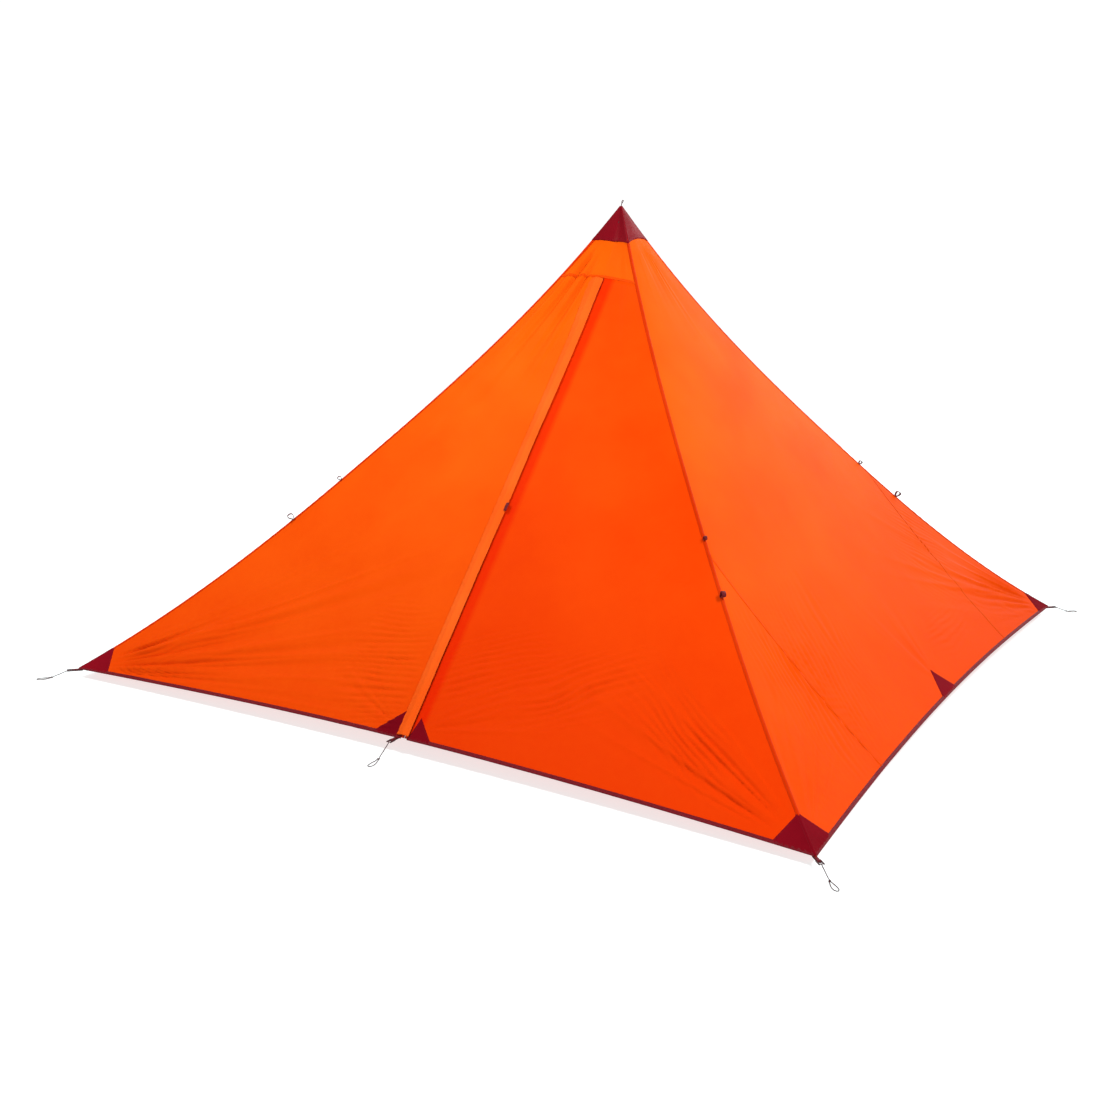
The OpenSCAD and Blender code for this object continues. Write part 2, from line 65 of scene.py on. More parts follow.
CAMERA_SPOT = Vector((2.54579, -4.76394, 1.77107))
CAMERA_AHEAD = Vector((-0.46250, 0.84864, -0.25673)).normalized()
CAMERA_ROLL = math.radians(1.5134)
CAMERA_LENS_MM = 47.07
CAMERA_SHIFT = (-0.03617, 0.00990)


def add_camera():
    level = CAMERA_AHEAD.cross(Vector((0, 0, 1))).normalized()
    upright = level.cross(CAMERA_AHEAD)
    right = level * math.cos(CAMERA_ROLL) + upright * math.sin(CAMERA_ROLL)
    up = upright * math.cos(CAMERA_ROLL) - level * math.sin(CAMERA_ROLL)
    data = bpy.data.cameras.new("camera")
    data.lens = CAMERA_LENS_MM
    data.sensor_width = 36
    data.shift_x, data.shift_y = CAMERA_SHIFT
    camera = bpy.data.objects.new("camera", data)
    turn = Matrix((right, up, -CAMERA_AHEAD)).transposed().to_4x4()
    camera.matrix_world = Matrix.Translation(CAMERA_SPOT) @ turn
    bpy.context.scene.collection.objects.link(camera)
    bpy.context.scene.camera = camera


add_camera()

# ---- the shape of the canopy: the functions of the CAD source, in metres ----

FRONT, RIGHT, BACK, LEFT = range(4)
HALF = 2.75 / 2
PEAK = 1.65
CORNER_LIFT = 0.03
RIDGE_SAG = (0.120, 0.103, 0.105, 0.098)
WALL_SAG = 0.070
HEM_SAG = 0.043
SAG_POWER = 2.6
ZIP_SAG, ZIP_SAG_LOSS, ZIP_SAG_ONSET = 0.068, 0.7, 0.13
FRONT_CREASE = 1.25
SEAM_X = 0.740
TOP_ROW = 0.13
CAP_ROW = 0.062
PANEL_TOP_ROW = 0.045
ZIP_EDGE = 0.012
FLAP_STITCH, FLAP_REACH = 0.030, 0.016
CLOTH = 0.0004

CORNER_R = HALF * math.sqrt(2)
RISE = PEAK - CORNER_LIFT
RIDGE_LEN = math.hypot(CORNER_R, RISE)
SLOPE_LEN = math.hypot(HALF, RISE)
OUT_Y, OUT_Z = -RISE / SLOPE_LEN, HALF / SLOPE_LEN


def sag_shape(s):
    return 1 - np.abs(2 * s - 1) ** SAG_POWER


def ridge_spot(ridge, s):
    """Distance from the pole's axis and height of a ridge at share s of its length."""
    drop = RIDGE_SAG[ridge % 4] * sag_shape(s)
    return CORNER_R * s - drop * RISE / RIDGE_LEN, PEAK - RISE * s - drop * CORNER_R / RIDGE_LEN


def middle_spot(wall, s):
    if wall == FRONT:
        onset = 1 - (1 - np.minimum(1, s / ZIP_SAG_ONSET)) ** SAG_POWER
        drop = ZIP_SAG * (1 - ZIP_SAG_LOSS * s) * onset
    else:
        drop = WALL_SAG * sag_shape(s)
    return -HALF * s - drop * OUT_Y, PEAK - RISE * s - drop * OUT_Z


def hem_share(q):
    return 1 - HEM_SAG * (1 - q * q) / SLOPE_LEN


def half_width(wall, side, s):
    left = ridge_spot(wall + 3, s)[0]
    right = ridge_spot(wall, s)[0]
    return np.where(np.asarray(side) < 0, left, right) / math.sqrt(2)


def q_at(wall, x, row):
    rough = x / half_width(wall, x, row)
    return x / half_width(wall, x, row * hem_share(np.clip(rough, -1, 1)))


def smooth(low, high, value):
    t = np.clip((value - low) / (high - low), 0, 1)
    return t * t * (3 - 2 * t)


CORNER_NAMES = ("front_right", "back_right", "back_left", "front_left")
LATTICE = 64
NOISE_TABLE = np.random.default_rng(11).uniform(-1, 1, (LATTICE, LATTICE))


def noise(u, v, seed=0):
    """Smooth noise between about -1 and 1 that changes over one unit of u or v."""
    u, v = np.broadcast_arrays(np.asarray(u, float) + 7.31 * seed, np.asarray(v, float) + 3.77 * seed)
    left, low = np.floor(u).astype(int), np.floor(v).astype(int)
    fu, fv = u - left, v - low
    fu, fv = fu * fu * (3 - 2 * fu), fv * fv * (3 - 2 * fv)

    def at(i, j):
        return NOISE_TABLE[(left + i) % LATTICE, (low + j) % LATTICE]

    near = at(0, 0) * (1 - fu) + at(1, 0) * fu
    far = at(0, 1) * (1 - fu) + at(1, 1) * fu
    return near * (1 - fv) + far * fv


FAN_GAIN, RIPPLE_GAIN = 3.2, 5.2
PATCH_REACH = 0.11


def fan(x, down, corner, aim, spread, count, near, far, height, seed):
    """Creases that run out from a corner (x, down), centred on the direction aim, in degrees above +x."""
    along, up = x - corner[0], corner[1] - down
    r = np.hypot(along, up) + 1e-6
    angle = np.degrees(np.arctan2(up, along))
    off = (angle - aim + 180) % 360 - 180
    window = np.exp(-((off / spread) ** 4))
    start = PATCH_REACH if abs(corner[0]) > 1 else 0.01
    reach = smooth(start, start + near, r) * np.exp(-((r / far) ** 2))
    lines = noise(off / (2 * spread) * count, r * 1.6, seed)
    sharp = 1 - 2 * np.abs(noise(off / (2 * spread) * count * 1.3, r * 1.1, seed + 5))
    return FAN_GAIN * height * window * reach * (0.35 * lines + 0.65 * sharp)


def ripples(x, down, centre, size, aim, wave, height, seed):
    """A patch of short waves round a centre (x, down) whose crests run along the direction aim."""
    a = math.radians(aim)
    dx, dy = x - centre[0], centre[1] - down
    along = dx * math.cos(a) + dy * math.sin(a)
    across = dy * math.cos(a) - dx * math.sin(a)
    window = np.exp(-((along / size[0]) ** 2) - (across / size[1]) ** 2)
    bend = noise(along / 0.16, across / 0.10, seed) * 0.9
    broken = 0.55 + 0.45 * noise(along / 0.05, across / 0.035, seed + 3)
    phase = 2 * np.pi * (across / wave + bend)
    return RIPPLE_GAIN * height * window * broken * (np.sin(phase) + 0.25 * np.sin(2 * phase))


# Creases, placed roughly as in the photograph on the front and right walls, and invented on the other two:
# (corner, direction, spread, number, near, far, height)
FANS = {
    FRONT: (
        ((-1.375, 2.12), 20, 17, 13, 0.16, 0.85, 0.0066),
        ((1.375, 2.12), 153, 15, 8, 0.20, 0.62, 0.0028),
        ((0.0, 0.02), 250, 12, 7, 0.10, 0.62, 0.0062),
        ((0.0, 0.02), 292, 9, 4, 0.12, 0.34, 0.0016),
        ((-0.03, 2.09), 160, 14, 5, 0.06, 0.30, 0.0016),
        ((0.03, 2.09), 28, 22, 6, 0.06, 0.34, 0.0016),
    ),
    RIGHT: (
        ((-1.375, 2.12), 34, 18, 8, 0.18, 0.50, 0.0034),
        ((1.375, 2.12), 152, 17, 7, 0.18, 0.66, 0.0064),
        ((0.0, 0.02), 270, 16, 6, 0.12, 0.36, 0.0016),
        ((0.0, 2.08), 90, 40, 7, 0.10, 0.30, 0.0012),
    ),
    BACK: (
        ((-1.375, 2.12), 26, 17, 7, 0.20, 0.62, 0.0042),
        ((1.375, 2.12), 154, 17, 7, 0.20, 0.66, 0.0040),
        ((0.0, 0.02), 262, 20, 8, 0.14, 0.46, 0.0026),
        ((0.0, 2.08), 90, 40, 7, 0.10, 0.30, 0.0014),
    ),
    LEFT: (
        ((-1.375, 2.12), 28, 17, 8, 0.20, 0.60, 0.0040),
        ((1.375, 2.12), 150, 17, 7, 0.20, 0.64, 0.0044),
        ((0.0, 0.02), 276, 20, 8, 0.14, 0.44, 0.0024),
        ((0.0, 2.08), 90, 40, 7, 0.10, 0.30, 0.0014),
    ),
}

# (centre, half-sizes along and across the crests, direction of the crests, wave length, height)
RIPPLES = {
    FRONT: (
        ((-0.17, 1.93), (0.13, 0.18), 8, 0.021, 0.00105),
        ((-0.95, 1.96), (0.22, 0.09), 22, 0.024, 0.00050),
        ((0.20, 1.86), (0.16, 0.12), 30, 0.024, 0.00095),
        ((0.52, 1.80), (0.20, 0.10), 34, 0.025, 0.00095),
        ((0.88, 1.86), (0.20, 0.09), 145, 0.024, 0.00080),
        ((0.62, 1.35), (0.10, 0.24), 60, 0.030, 0.00025),
    ),
    RIGHT: (
        ((-0.70, 1.80), (0.24, 0.16), 70, 0.025, 0.00085),
        ((-0.42, 1.70), (0.20, 0.12), 80, 0.026, 0.00036),
        ((0.70, 1.60), (0.14, 0.22), 140, 0.024, 0.00050),
        ((0.98, 1.96), (0.22, 0.08), 158, 0.024, 0.00085),
        ((0.40, 1.94), (0.22, 0.07), 5, 0.026, 0.00036),
    ),
    BACK: (
        ((-0.80, 1.84), (0.24, 0.12), 40, 0.023, 0.00056),
        ((0.76, 1.80), (0.22, 0.13), 138, 0.024, 0.00056),
        ((0.10, 1.90), (0.24, 0.09), 10, 0.027, 0.00036),
    ),
    LEFT: (
        ((-0.76, 1.82), (0.22, 0.13), 44, 0.024, 0.00056),
        ((0.82, 1.86), (0.24, 0.11), 140, 0.022, 0.00056),
        ((-0.12, 1.92), (0.24, 0.08), 172, 0.027, 0.00036),
    ),
}

RIDGE_FADE = 0.022
PUCKER_WAVE = 0.021


def relief(wall, x, down, width_left, width_right):
    """How far the cloth stands above the smooth wall: creases, ripples and puckers."""
    rise = 0.0011 * noise(x / 0.22, down / 0.42, 20 + wall)
    rise = rise + 0.0004 * noise(x / 0.07, down / 0.19, 30 + wall)
    for n, (corner, aim, spread, count, near, far, height) in enumerate(FANS[wall]):
        rise = rise + fan(x, down, corner, aim, spread, count, near, far, height, 4 * wall + n)
    for n, (centre, size, aim, wave, height) in enumerate(RIPPLES[wall]):
        rise = rise + ripples(x, down, centre, size, aim, wave, height, 9 + 5 * wall + n)
    from_left, from_right = (x + width_left) * 0.78, (width_right - x) * 0.78
    for edge, seed in ((from_left, 1), (from_right, 2)):
        gathers = np.sin(2 * np.pi * (down / PUCKER_WAVE + 0.8 * noise(down / 0.09, 0.5, seed + wall)))
        strength = 0.5 + 0.5 * noise(down / 0.17, 1.5, seed + 6 + wall)
        rise = rise + 0.00045 * gathers * strength * np.exp(-((edge / 0.035) ** 2))
    from_hem = SLOPE_LEN - down
    gathers = np.sin(2 * np.pi * (x / 0.019 + 0.8 * noise(x / 0.11, 0.5, 3 + wall)))
    rise = rise + 0.00035 * gathers * np.exp(-((from_hem / 0.030) ** 2))
    calm = smooth(0, RIDGE_FADE, from_left) * smooth(0, RIDGE_FADE, from_right)
    calm = calm * smooth(CAP_ROW * SLOPE_LEN, CAP_ROW * SLOPE_LEN + 0.10, down)
    if wall == FRONT:
        calm = calm * (0.08 + 0.92 * smooth(0.026, 0.070, np.abs(x + 0.007)))
    return rise * calm


def turned(points, wall):
    c, s = round(math.cos(math.pi / 2 * wall)), round(math.sin(math.pi / 2 * wall))
    x, y, z = points[..., 0], points[..., 1], points[..., 2]
    return np.stack([c * x - s * y, s * x + c * y, z], -1)


def wall_spot(wall, q, row, lift=0.0, creased=True):
    """Points of a wall seen from outside, lift above its cloth, turned to their place."""
    q, row, lift = np.broadcast_arrays(np.asarray(q, float), row, lift)
    s = row * hem_share(np.clip(q, -1, 1))
    left_r, left_z = ridge_spot(wall + 3, s)
    right_r, right_z = ridge_spot(wall, s)
    wl, wr = left_r / math.sqrt(2), right_r / math.sqrt(2)
    x = np.where(q < 0, q * wl, q * wr)
    width = np.maximum(wl + wr, 1e-9)

    def line(t):
        return -(wl + (wr - wl) * t), left_z + (right_z - left_z) * t

    edge_y, edge_z = line((x + wl) / width)
    base_y, base_z = line(wl / width)
    mid_y, mid_z = middle_spot(wall, s)
    share = 1 - np.abs(q) ** (FRONT_CREASE if wall == FRONT else 2)
    if creased:
        lift = lift + relief(wall, x, row * SLOPE_LEN, wl, wr)
    y = edge_y + (mid_y - base_y) * share + lift * OUT_Y
    z = edge_z + (mid_z - base_z) * share + lift * OUT_Z
    return turned(np.stack([x, y, z], -1), wall)


# ---- making pieces ----


def link(name, data):
    piece = bpy.data.objects.new(name, data)
    bpy.context.scene.collection.objects.link(piece)
    return piece


def mesh_piece(name, points, faces, material, body="canopy", cloth_uv=None, flat=False):
    """A mesh from points and faces that rides on a body. cloth_uv gives each point's place on its cloth."""
    mesh = bpy.data.meshes.new(name)
    mesh.from_pydata(np.asarray(points).reshape(-1, 3).tolist(), [], faces)
    mesh.update()
    if not flat:
        mesh.polygons.foreach_set("use_smooth", np.ones(len(mesh.polygons), bool))
    if cloth_uv is not None:
        corners = np.zeros(len(mesh.loops), int)
        mesh.loops.foreach_get("vertex_index", corners)
        layer = mesh.uv_layers.new(name="cloth")
        layer.data.foreach_set("uv", np.asarray(cloth_uv, float).reshape(-1, 2)[corners].ravel())
    mesh.materials.append(material)
    piece = link(name, mesh)
    if body:
        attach(piece, body)
    return piece


def grid_faces(columns, rows, first=0, around=False):
    """Faces of a grid of points stored row by row, with columns to the right and rows going down."""
    faces = []
    for j in range(rows - 1):
        for i in range(columns if around else columns - 1):
            a, b = first + j * columns + i, first + j * columns + (i + 1) % columns
            faces.append((a, a + columns, b + columns, b))
    return faces


def thicken(piece, thickness=CLOTH):
    """Gives a sheet its thickness, inward, as real faces."""
    made = piece.modifiers.new("thickness", "SOLIDIFY")
    made.thickness = thickness
    made.offset = -1
    made.use_even_offset = False


def cloth_piece(name, wall, columns, rows, spot, material, body="canopy", lift=CLOTH):
    """A sheet on a wall: spot(i, j) gives q and row, with i from 0 left to 1 right and j from 0 to 1 down."""
    i, j = np.meshgrid(np.linspace(0, 1, columns), np.linspace(0, 1, rows))
    q, row = np.broadcast_arrays(*spot(i, j))
    points = wall_spot(wall, q, row, lift)
    x = np.where(q < 0, q * half_width(wall, -1, row), q * half_width(wall, 1, row))
    uv = np.stack([x, row * SLOPE_LEN], -1)
    piece = mesh_piece(name, points, grid_faces(columns, rows), material, body, uv)
    thicken(piece)
    return piece


def outward(piece):
    """Turns a closed mesh's faces outward."""
    work = bmesh.new()
    work.from_mesh(piece.data)
    bmesh.ops.recalc_face_normals(work, faces=work.faces)
    work.to_mesh(piece.data)
    work.free()
    return piece


def tube_faces(sides, count):
    """Faces of a closed tube of count rings, with both ends capped."""
    last = count * sides
    ends = [tuple(range(sides)), tuple(range(last - 1, last - sides - 1, -1))]
    return grid_faces(sides, count, around=True) + ends


def pairs(a, b):
    return np.stack(np.broadcast_arrays(a, b), -1)


def stand_in(piece, slot, *nodes):
    """Hides the CAD nodes that a piece stands for. slot is not used."""
    if nodes:
        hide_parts(*nodes)


def ribbon(name, rings, material, body="canopy", uv=None):
    """A closed band: rings[n] is the n-th cross-section's points. Its ends are capped."""
    rings = np.asarray(rings, float)
    faces = tube_faces(rings.shape[1], rings.shape[0])
    return outward(mesh_piece(name, rings, faces, material, body, uv))


def joined(name, parts):
    """One piece from several meshes on the same body."""
    bpy.ops.object.select_all(action="DESELECT")
    for part in parts:
        part.select_set(True)
    bpy.context.view_layer.objects.active = parts[0]
    bpy.ops.object.join()
    parts[0].name = name
    return parts[0]


TIP_SHARE = 0.35


def tube_piece(name, path, radius, material, body="canopy", sides=10):
    """A round tube along a path, drawn in at its ends."""
    path = np.asarray(path, float)
    ahead = np.gradient(path, axis=0)
    ahead /= np.linalg.norm(ahead, axis=1)[:, None]
    across = np.cross(ahead[0], (0.31, 0.17, 0.93))
    across /= np.linalg.norm(across)
    points = []
    for n, (spot, way) in enumerate(zip(path, ahead)):
        across = across - way * (across @ way)
        across /= np.linalg.norm(across)
        side = np.cross(way, across)
        width = radius * (TIP_SHARE if n in (0, len(path) - 1) else 1)
        for k in range(sides):
            a = 2 * np.pi * k / sides
            points.append(spot + width * (math.cos(a) * across + math.sin(a) * side))
    return outward(mesh_piece(name, points, tube_faces(sides, len(path)), material, body))


def through(points, steps=8):
    """A smooth line through the points (Catmull-Rom)."""
    p = np.asarray(points, float)
    p = np.vstack([2 * p[0] - p[1], p, 2 * p[-1] - p[-2]])
    made = []
    for n in range(1, len(p) - 2):
        a, b, c, d = p[n - 1 : n + 3]
        for t in np.linspace(0, 1, steps, endpoint=False):
            bend = (2 * a - 5 * b + 4 * c - d) * t**2 + (3 * b - a - 3 * c + d) * t**3
            made.append(0.5 * (2 * b + (c - a) * t + bend))
    made.append(p[-2])
    return np.array(made)


# ---- materials ----


class Nodes:
    """Short ways of adding and linking a material's nodes."""

    def __init__(self, name):
        self.material = bpy.data.materials.new(name)
        self.material.use_nodes = True
        self.tree = self.material.node_tree
        self.tree.nodes.clear()
        self.out = self.tree.nodes.new("ShaderNodeOutputMaterial")
        self.shader = self.tree.nodes.new("ShaderNodeBsdfPrincipled")
        self.tree.links.new(self.shader.outputs[0], self.out.inputs["Surface"])

    def add(self, kind, inputs=(), **settings):
        made = self.tree.nodes.new(kind)
        for key, value in settings.items():
            setattr(made, key, value)
        self.fill(made, inputs)
        return made

    def fill(self, node, inputs):
        """Links a node's inputs to sockets, or sets them to plain values."""
        for key, value in dict(inputs).items():
            if isinstance(value, bpy.types.NodeSocket):
                self.tree.links.new(value, node.inputs[key])
            else:
                node.inputs[key].default_value = value

    def math(self, operation, a, b=0.0):
        return self.add("ShaderNodeMath", {0: a, 1: b}, operation=operation).outputs[0]

    def mix(self, share, a, b):
        return self.add("ShaderNodeMix", {0: share, 6: a, 7: b}, data_type="RGBA").outputs[2]

    def noise(self, vector, scale, detail=2.0, roughness=0.5):
        inputs = {"Vector": vector, "Scale": scale, "Detail": detail, "Roughness": roughness}
        return self.add("ShaderNodeTexNoise", inputs).outputs[0]

    def ramp(self, value, low, high, to_low=0.0, to_high=1.0):
        return self.add("ShaderNodeMapRange", {0: value, 1: low, 2: high, 3: to_low, 4: to_high}).outputs[0]

    def place(self):
        return self.add("ShaderNodeTexCoord").outputs["Object"]

    def cloth_place(self):
        return self.add("ShaderNodeUVMap", uv_map="cloth").outputs[0]

    def split(self, vector):
        return self.add("ShaderNodeSeparateXYZ", {0: vector}).outputs

    def bump(self, height, strength, distance, under=None):
        inputs = {"Height": height, "Strength": strength, "Distance": distance}
        if under is not None:
            inputs["Normal"] = under
        return self.add("ShaderNodeBump", inputs).outputs[0]

    def finish(self, colour, roughness, normal=None, **constants):
        inputs = {"Base Color": colour, "Roughness": roughness}
        if normal is not None:
            inputs["Normal"] = normal
        inputs.update({key.replace("_", " "): value for key, value in constants.items()})
        self.fill(self.shader, inputs)
        return self.material


def rgba(r, g, b):
    """A colour of 0 to 255 as the eye reads it, in the linear values that a shader takes."""
    linear = [((v / 255 + 0.055) / 1.055) ** 2.4 if v > 10 else v / 255 / 12.92 for v in (r, g, b)]
    return (*linear, 1.0)


WEAVE_WAVE = 0.0006
# Heights between which the painted shade toward the ground fades out, and its share at the ground
GROUND_SHADE_FROM, GROUND_SHADE_TO, GROUND_SHADE_SHARE = 0.05, 1.1, 0.85


def cloth_material(
    name, light, deep, through_share, grid=0.005, rough=0.48, gloss=0.007, low=None, band=None
):
    """Coated ripstop: fine weave, a grid of thicker threads, slow variation, and some light let through.

    low is painted shade toward the ground. band is (colour, from x, to x, share), a painted shadow strip that
    fades out.
    """
    n = Nodes(name)
    light, deep = rgba(*light), rgba(*deep)
    spot = n.cloth_place()
    where = n.place()
    x, y, _ = n.split(spot)
    slow = n.noise(where, 2.6, 3.0, 0.55)
    fine = n.noise(where, 38.0, 3.0, 0.6)
    colour = n.mix(n.ramp(slow, 0.3, 0.7), light, deep)
    # Painted shade: the colour darkens toward the ground, where less light falls.
    if low:
        share = n.ramp(n.split(where)[2], GROUND_SHADE_FROM, GROUND_SHADE_TO, GROUND_SHADE_SHARE, 0.0)
        colour = n.mix(share, colour, rgba(*low))
    # Painted shadow: a deeper red strip beside the zip that fades out.
    if band:
        colour = n.mix(n.ramp(n.math("ABSOLUTE", x), *band[1:], 0.0), colour, rgba(*band[0]))
    threads = []
    for along in (x, y):
        place = n.math("FRACT", n.math("DIVIDE", along, grid))
        threads.append(n.ramp(n.math("ABSOLUTE", n.math("SUBTRACT", place, 0.5)), 0.40, 0.49))
    lines = n.math("MAXIMUM", *threads)
    colour = n.mix(n.math("MULTIPLY", lines, 0.16), colour, deep)
    colour = n.mix(n.ramp(fine, 0.35, 0.75, 0.0, 0.10), colour, light)
    weave = [n.math("SINE", n.math("MULTIPLY", along, 2 * math.pi / WEAVE_WAVE)) for along in (x, y)]
    height = n.math("ADD", n.math("MULTIPLY", *weave), n.math("MULTIPLY", lines, 1.6))
    limp = n.noise(where, 60.0, 2.0, 0.5)
    normal = n.bump(limp, 0.16, 0.0016)
    normal = n.bump(height, 0.22, 0.00006, normal)
    rougher = n.math("ADD", fine, n.math("MULTIPLY", lines, 0.15))
    roughness = n.ramp(rougher, 0.3, 0.9, rough - 0.05, rough + 0.08)
    n.finish(colour, roughness, normal, Specular_IOR_Level=gloss, Specular_Tint=(1.0, 0.72, 0.50, 1.0))
    glow = n.add("ShaderNodeBsdfTranslucent", {"Color": colour, "Normal": normal})
    both = n.add("ShaderNodeMixShader", {0: through_share, 1: n.shader.outputs[0], 2: glow.outputs[0]})
    n.tree.links.new(both.outputs[0], n.out.inputs["Surface"])
    return n.material


def woven_material(name, colour, worn, rib=0.0011, rough=0.62, sheen=0.05):
    """Webbing, cord sheath and thread: crossing ribs with paler wear."""
    n = Nodes(name)
    colour, worn = rgba(*colour), rgba(*worn)
    where = n.place()
    x, y, z = n.split(where)
    wear = n.noise(where, 90.0, 4.0, 0.65)
    twist = 2 * math.pi / rib
    one = n.math("SINE", n.math("MULTIPLY", n.math("ADD", x, z), twist))
    two = n.math("SINE", n.math("MULTIPLY", n.math("SUBTRACT", y, z), twist))
    height = n.math("MULTIPLY", one, two)
    shade = n.mix(n.ramp(height, -1.0, 1.0, 0.0, 0.45), colour, worn)
    shade = n.mix(n.ramp(wear, 0.45, 0.8, 0.0, 0.5), shade, worn)
    normal = n.bump(height, 0.5, rib * 0.25)
    roughness = n.ramp(wear, 0.3, 0.8, rough - 0.06, rough + 0.1)
    return n.finish(shade, roughness, normal, Sheen_Weight=sheen, Specular_IOR_Level=0.12)


def plastic_material(name, colour, scuffed, rough=0.42, grain=900.0, metal=0.0):
    """Moulded plastic or rubber: a fine grain, faint mottling, and scuffs."""
    n = Nodes(name)
    colour, scuffed = rgba(*colour), rgba(*scuffed)
    where = n.place()
    grainy = n.noise(where, grain, 3.0, 0.6)
    marks = n.noise(where, 55.0, 5.0, 0.7)
    shade = n.mix(n.ramp(marks, 0.52, 0.78, 0.0, 0.55), colour, scuffed)
    normal = n.bump(grainy, 0.22, 0.00012)
    roughness = n.ramp(marks, 0.3, 0.8, rough - 0.07, rough + 0.16)
    return n.finish(shade, roughness, normal, Metallic=metal, Specular_IOR_Level=0.3)


def metal_material(name, colour, streaked, rough):
    """Anodised or plain metal with drawn lines along its length and light scratches."""
    n = Nodes(name)
    colour, streaked = rgba(*colour), rgba(*streaked)
    where = n.place()
    stretch = n.add("ShaderNodeMapping", {"Vector": where, "Scale": (220.0, 220.0, 3.0)}).outputs[0]
    lines = n.noise(stretch, 1.0, 4.0, 0.6)
    marks = n.noise(where, 26.0, 5.0, 0.7)
    shade = n.mix(n.ramp(lines, 0.35, 0.7, 0.0, 0.6), colour, streaked)
    shade = n.mix(n.ramp(marks, 0.6, 0.75, 0.0, 0.35), shade, streaked)
    normal = n.bump(lines, 0.12, 0.0001)
    return n.finish(shade, n.ramp(lines, 0.3, 0.75, rough - 0.06, rough + 0.14), normal, Metallic=1.0)


# Painted shade: each low colour darkens the cloth toward the ground.
ORANGE = cloth_material("orange_ripstop", (226, 92, 10), (216, 76, 4), 0.08, low=(214, 58, 4))
# Painted shadow: the strip beside the flap's free edge is given a deeper red, for the shade along the flap.
DOOR_SHADOW_BAND = ((208, 18, 0), 0.044, 0.064, 0.70)
# Painted shade: the door half is the same ripstop as the rest, in a deeper orange for the shade it is in.
SHADED_DOOR_ORANGE = cloth_material(
    "shaded_orange_door_ripstop", (220, 72, 6), (210, 58, 2), 0.08, low=(212, 50, 3), band=DOOR_SHADOW_BAND
)
# Painted light: the flap is the same ripstop, made paler for the light it catches.
LIT_FLAP_ORANGE = cloth_material("lit_orange_flap_ripstop", (232, 98, 32), (224, 82, 18), 0.10)
WALL_SEAM = cloth_material("orange_wall_seam_ripstop", (214, 74, 8), (204, 60, 2), 0.05)
SEAM_ORANGE = cloth_material("orange_seam_ripstop", (198, 52, 6), (180, 38, 0), 0.05)
MAROON = cloth_material("maroon_cloth", (126, 12, 26), (102, 6, 18), 0.02, 0.0032, 0.55, 0.004)
MAROON_CAP = cloth_material("maroon_cap_cloth", (128, 12, 26), (100, 6, 18), 0.02, 0.0024, 0.46, 0.03)
HEM_TAPE = woven_material("maroon_binding", (96, 6, 18), (116, 12, 26), 0.0016, 0.66, 0.0)
WEBBING = woven_material("maroon_webbing", (84, 6, 16), (112, 20, 30), 0.0015)
THREAD = woven_material("orange_thread", (188, 44, 6), (216, 78, 24), 0.0006, 0.5)
MAROON_THREAD = woven_material("maroon_thread", (90, 8, 20), (134, 34, 44), 0.0006, 0.5)
CORD = woven_material("braided_cord", (48, 3, 10), (82, 18, 26), 0.0022, 0.58, 0.1)
ZIP_TAPE = woven_material("zip_tape_weave", (168, 26, 6), (190, 46, 16), 0.0012)
ZIP_COIL = plastic_material("zip_coil_nylon", (118, 14, 16), (150, 40, 36), 0.34)
ZIP_METAL = plastic_material("zip_painted_metal", (58, 58, 62), (130, 130, 134), 0.36, 500.0, 0.85)
BLACK_PLASTIC = plastic_material("black_moulded_plastic", (34, 32, 35), (74, 70, 72), 0.44)
ADJUSTER_PLASTIC = plastic_material("dark_maroon_plastic", (52, 8, 16), (88, 26, 34), 0.46)
RUBBER = plastic_material("black_rubber", (26, 26, 27), (66, 62, 58), 0.72, 700.0)
LEVER_PLASTIC = plastic_material("maroon_moulded_plastic", (120, 18, 34), (158, 62, 72), 0.38)
POLE_METAL = metal_material("anodised_tube", (176, 180, 186), (206, 208, 212), 0.3)
PIN_METAL = metal_material("steel_pin", (196, 198, 202), (150, 152, 156), 0.24)
PULL_PLASTIC = plastic_material("zip_pull_plastic", (124, 20, 34), (160, 66, 74), 0.4)

# ---- stake cords, with the route of the CAD source ----

CORD_D = 0.0026
CORD_LOW = CORD_D / 2
CORD_ROUTE_MM = (
    (34, 0, 26), (43, 0, 22), (54, 0, 18), (66, 0, 13), (78, 0, 9),
    (88, 1.5, 5), (98, 4, 3), (110, 7, 2), (122, 8, 1.3), (133, 6, 1.3),
    (138, 0, 1.3), (133, -6, 1.3), (122, -8, 1.3), (110, -7, 2), (98, -4, 3), (89, -2.5, 5),
)  # fmt: skip
KNOT_OUT, KNOT_R, KNOT_UP = 0.088, 0.0042, 0.005
DOOR_X = -FLAP_STITCH
door_tip = wall_spot(FRONT, q_at(FRONT, DOOR_X, 1.0), 1.0, 0.0, creased=False)
# Name, direction, distance from the axis, height of the hem's tip, and sideways place of each stake point
STAKES = (
    ("front_right", -45, CORNER_R, CORNER_LIFT, 0.0),
    ("back_right", 45, CORNER_R, CORNER_LIFT, 0.0),
    ("back_left", 135, CORNER_R, CORNER_LIFT, 0.0),
    ("front_left", 225, CORNER_R, CORNER_LIFT, 0.0),
    ("door", -90, -float(door_tip[1]), float(door_tip[2]), DOOR_X),
)
TIP_DROP = 0.0036


def at_stake(stake, points):
    """Points given as out, sideways, up from a stake point's tip, on the ground, put in their place."""
    _, degrees, out, _, side = stake
    a = math.radians(degrees)
    p = np.asarray(points, float).reshape(-1, 3)
    x, y = p[:, 0] + out, p[:, 1] + side
    return np.stack([x * math.cos(a) - y * math.sin(a), x * math.sin(a) + y * math.cos(a), p[:, 2]], -1)


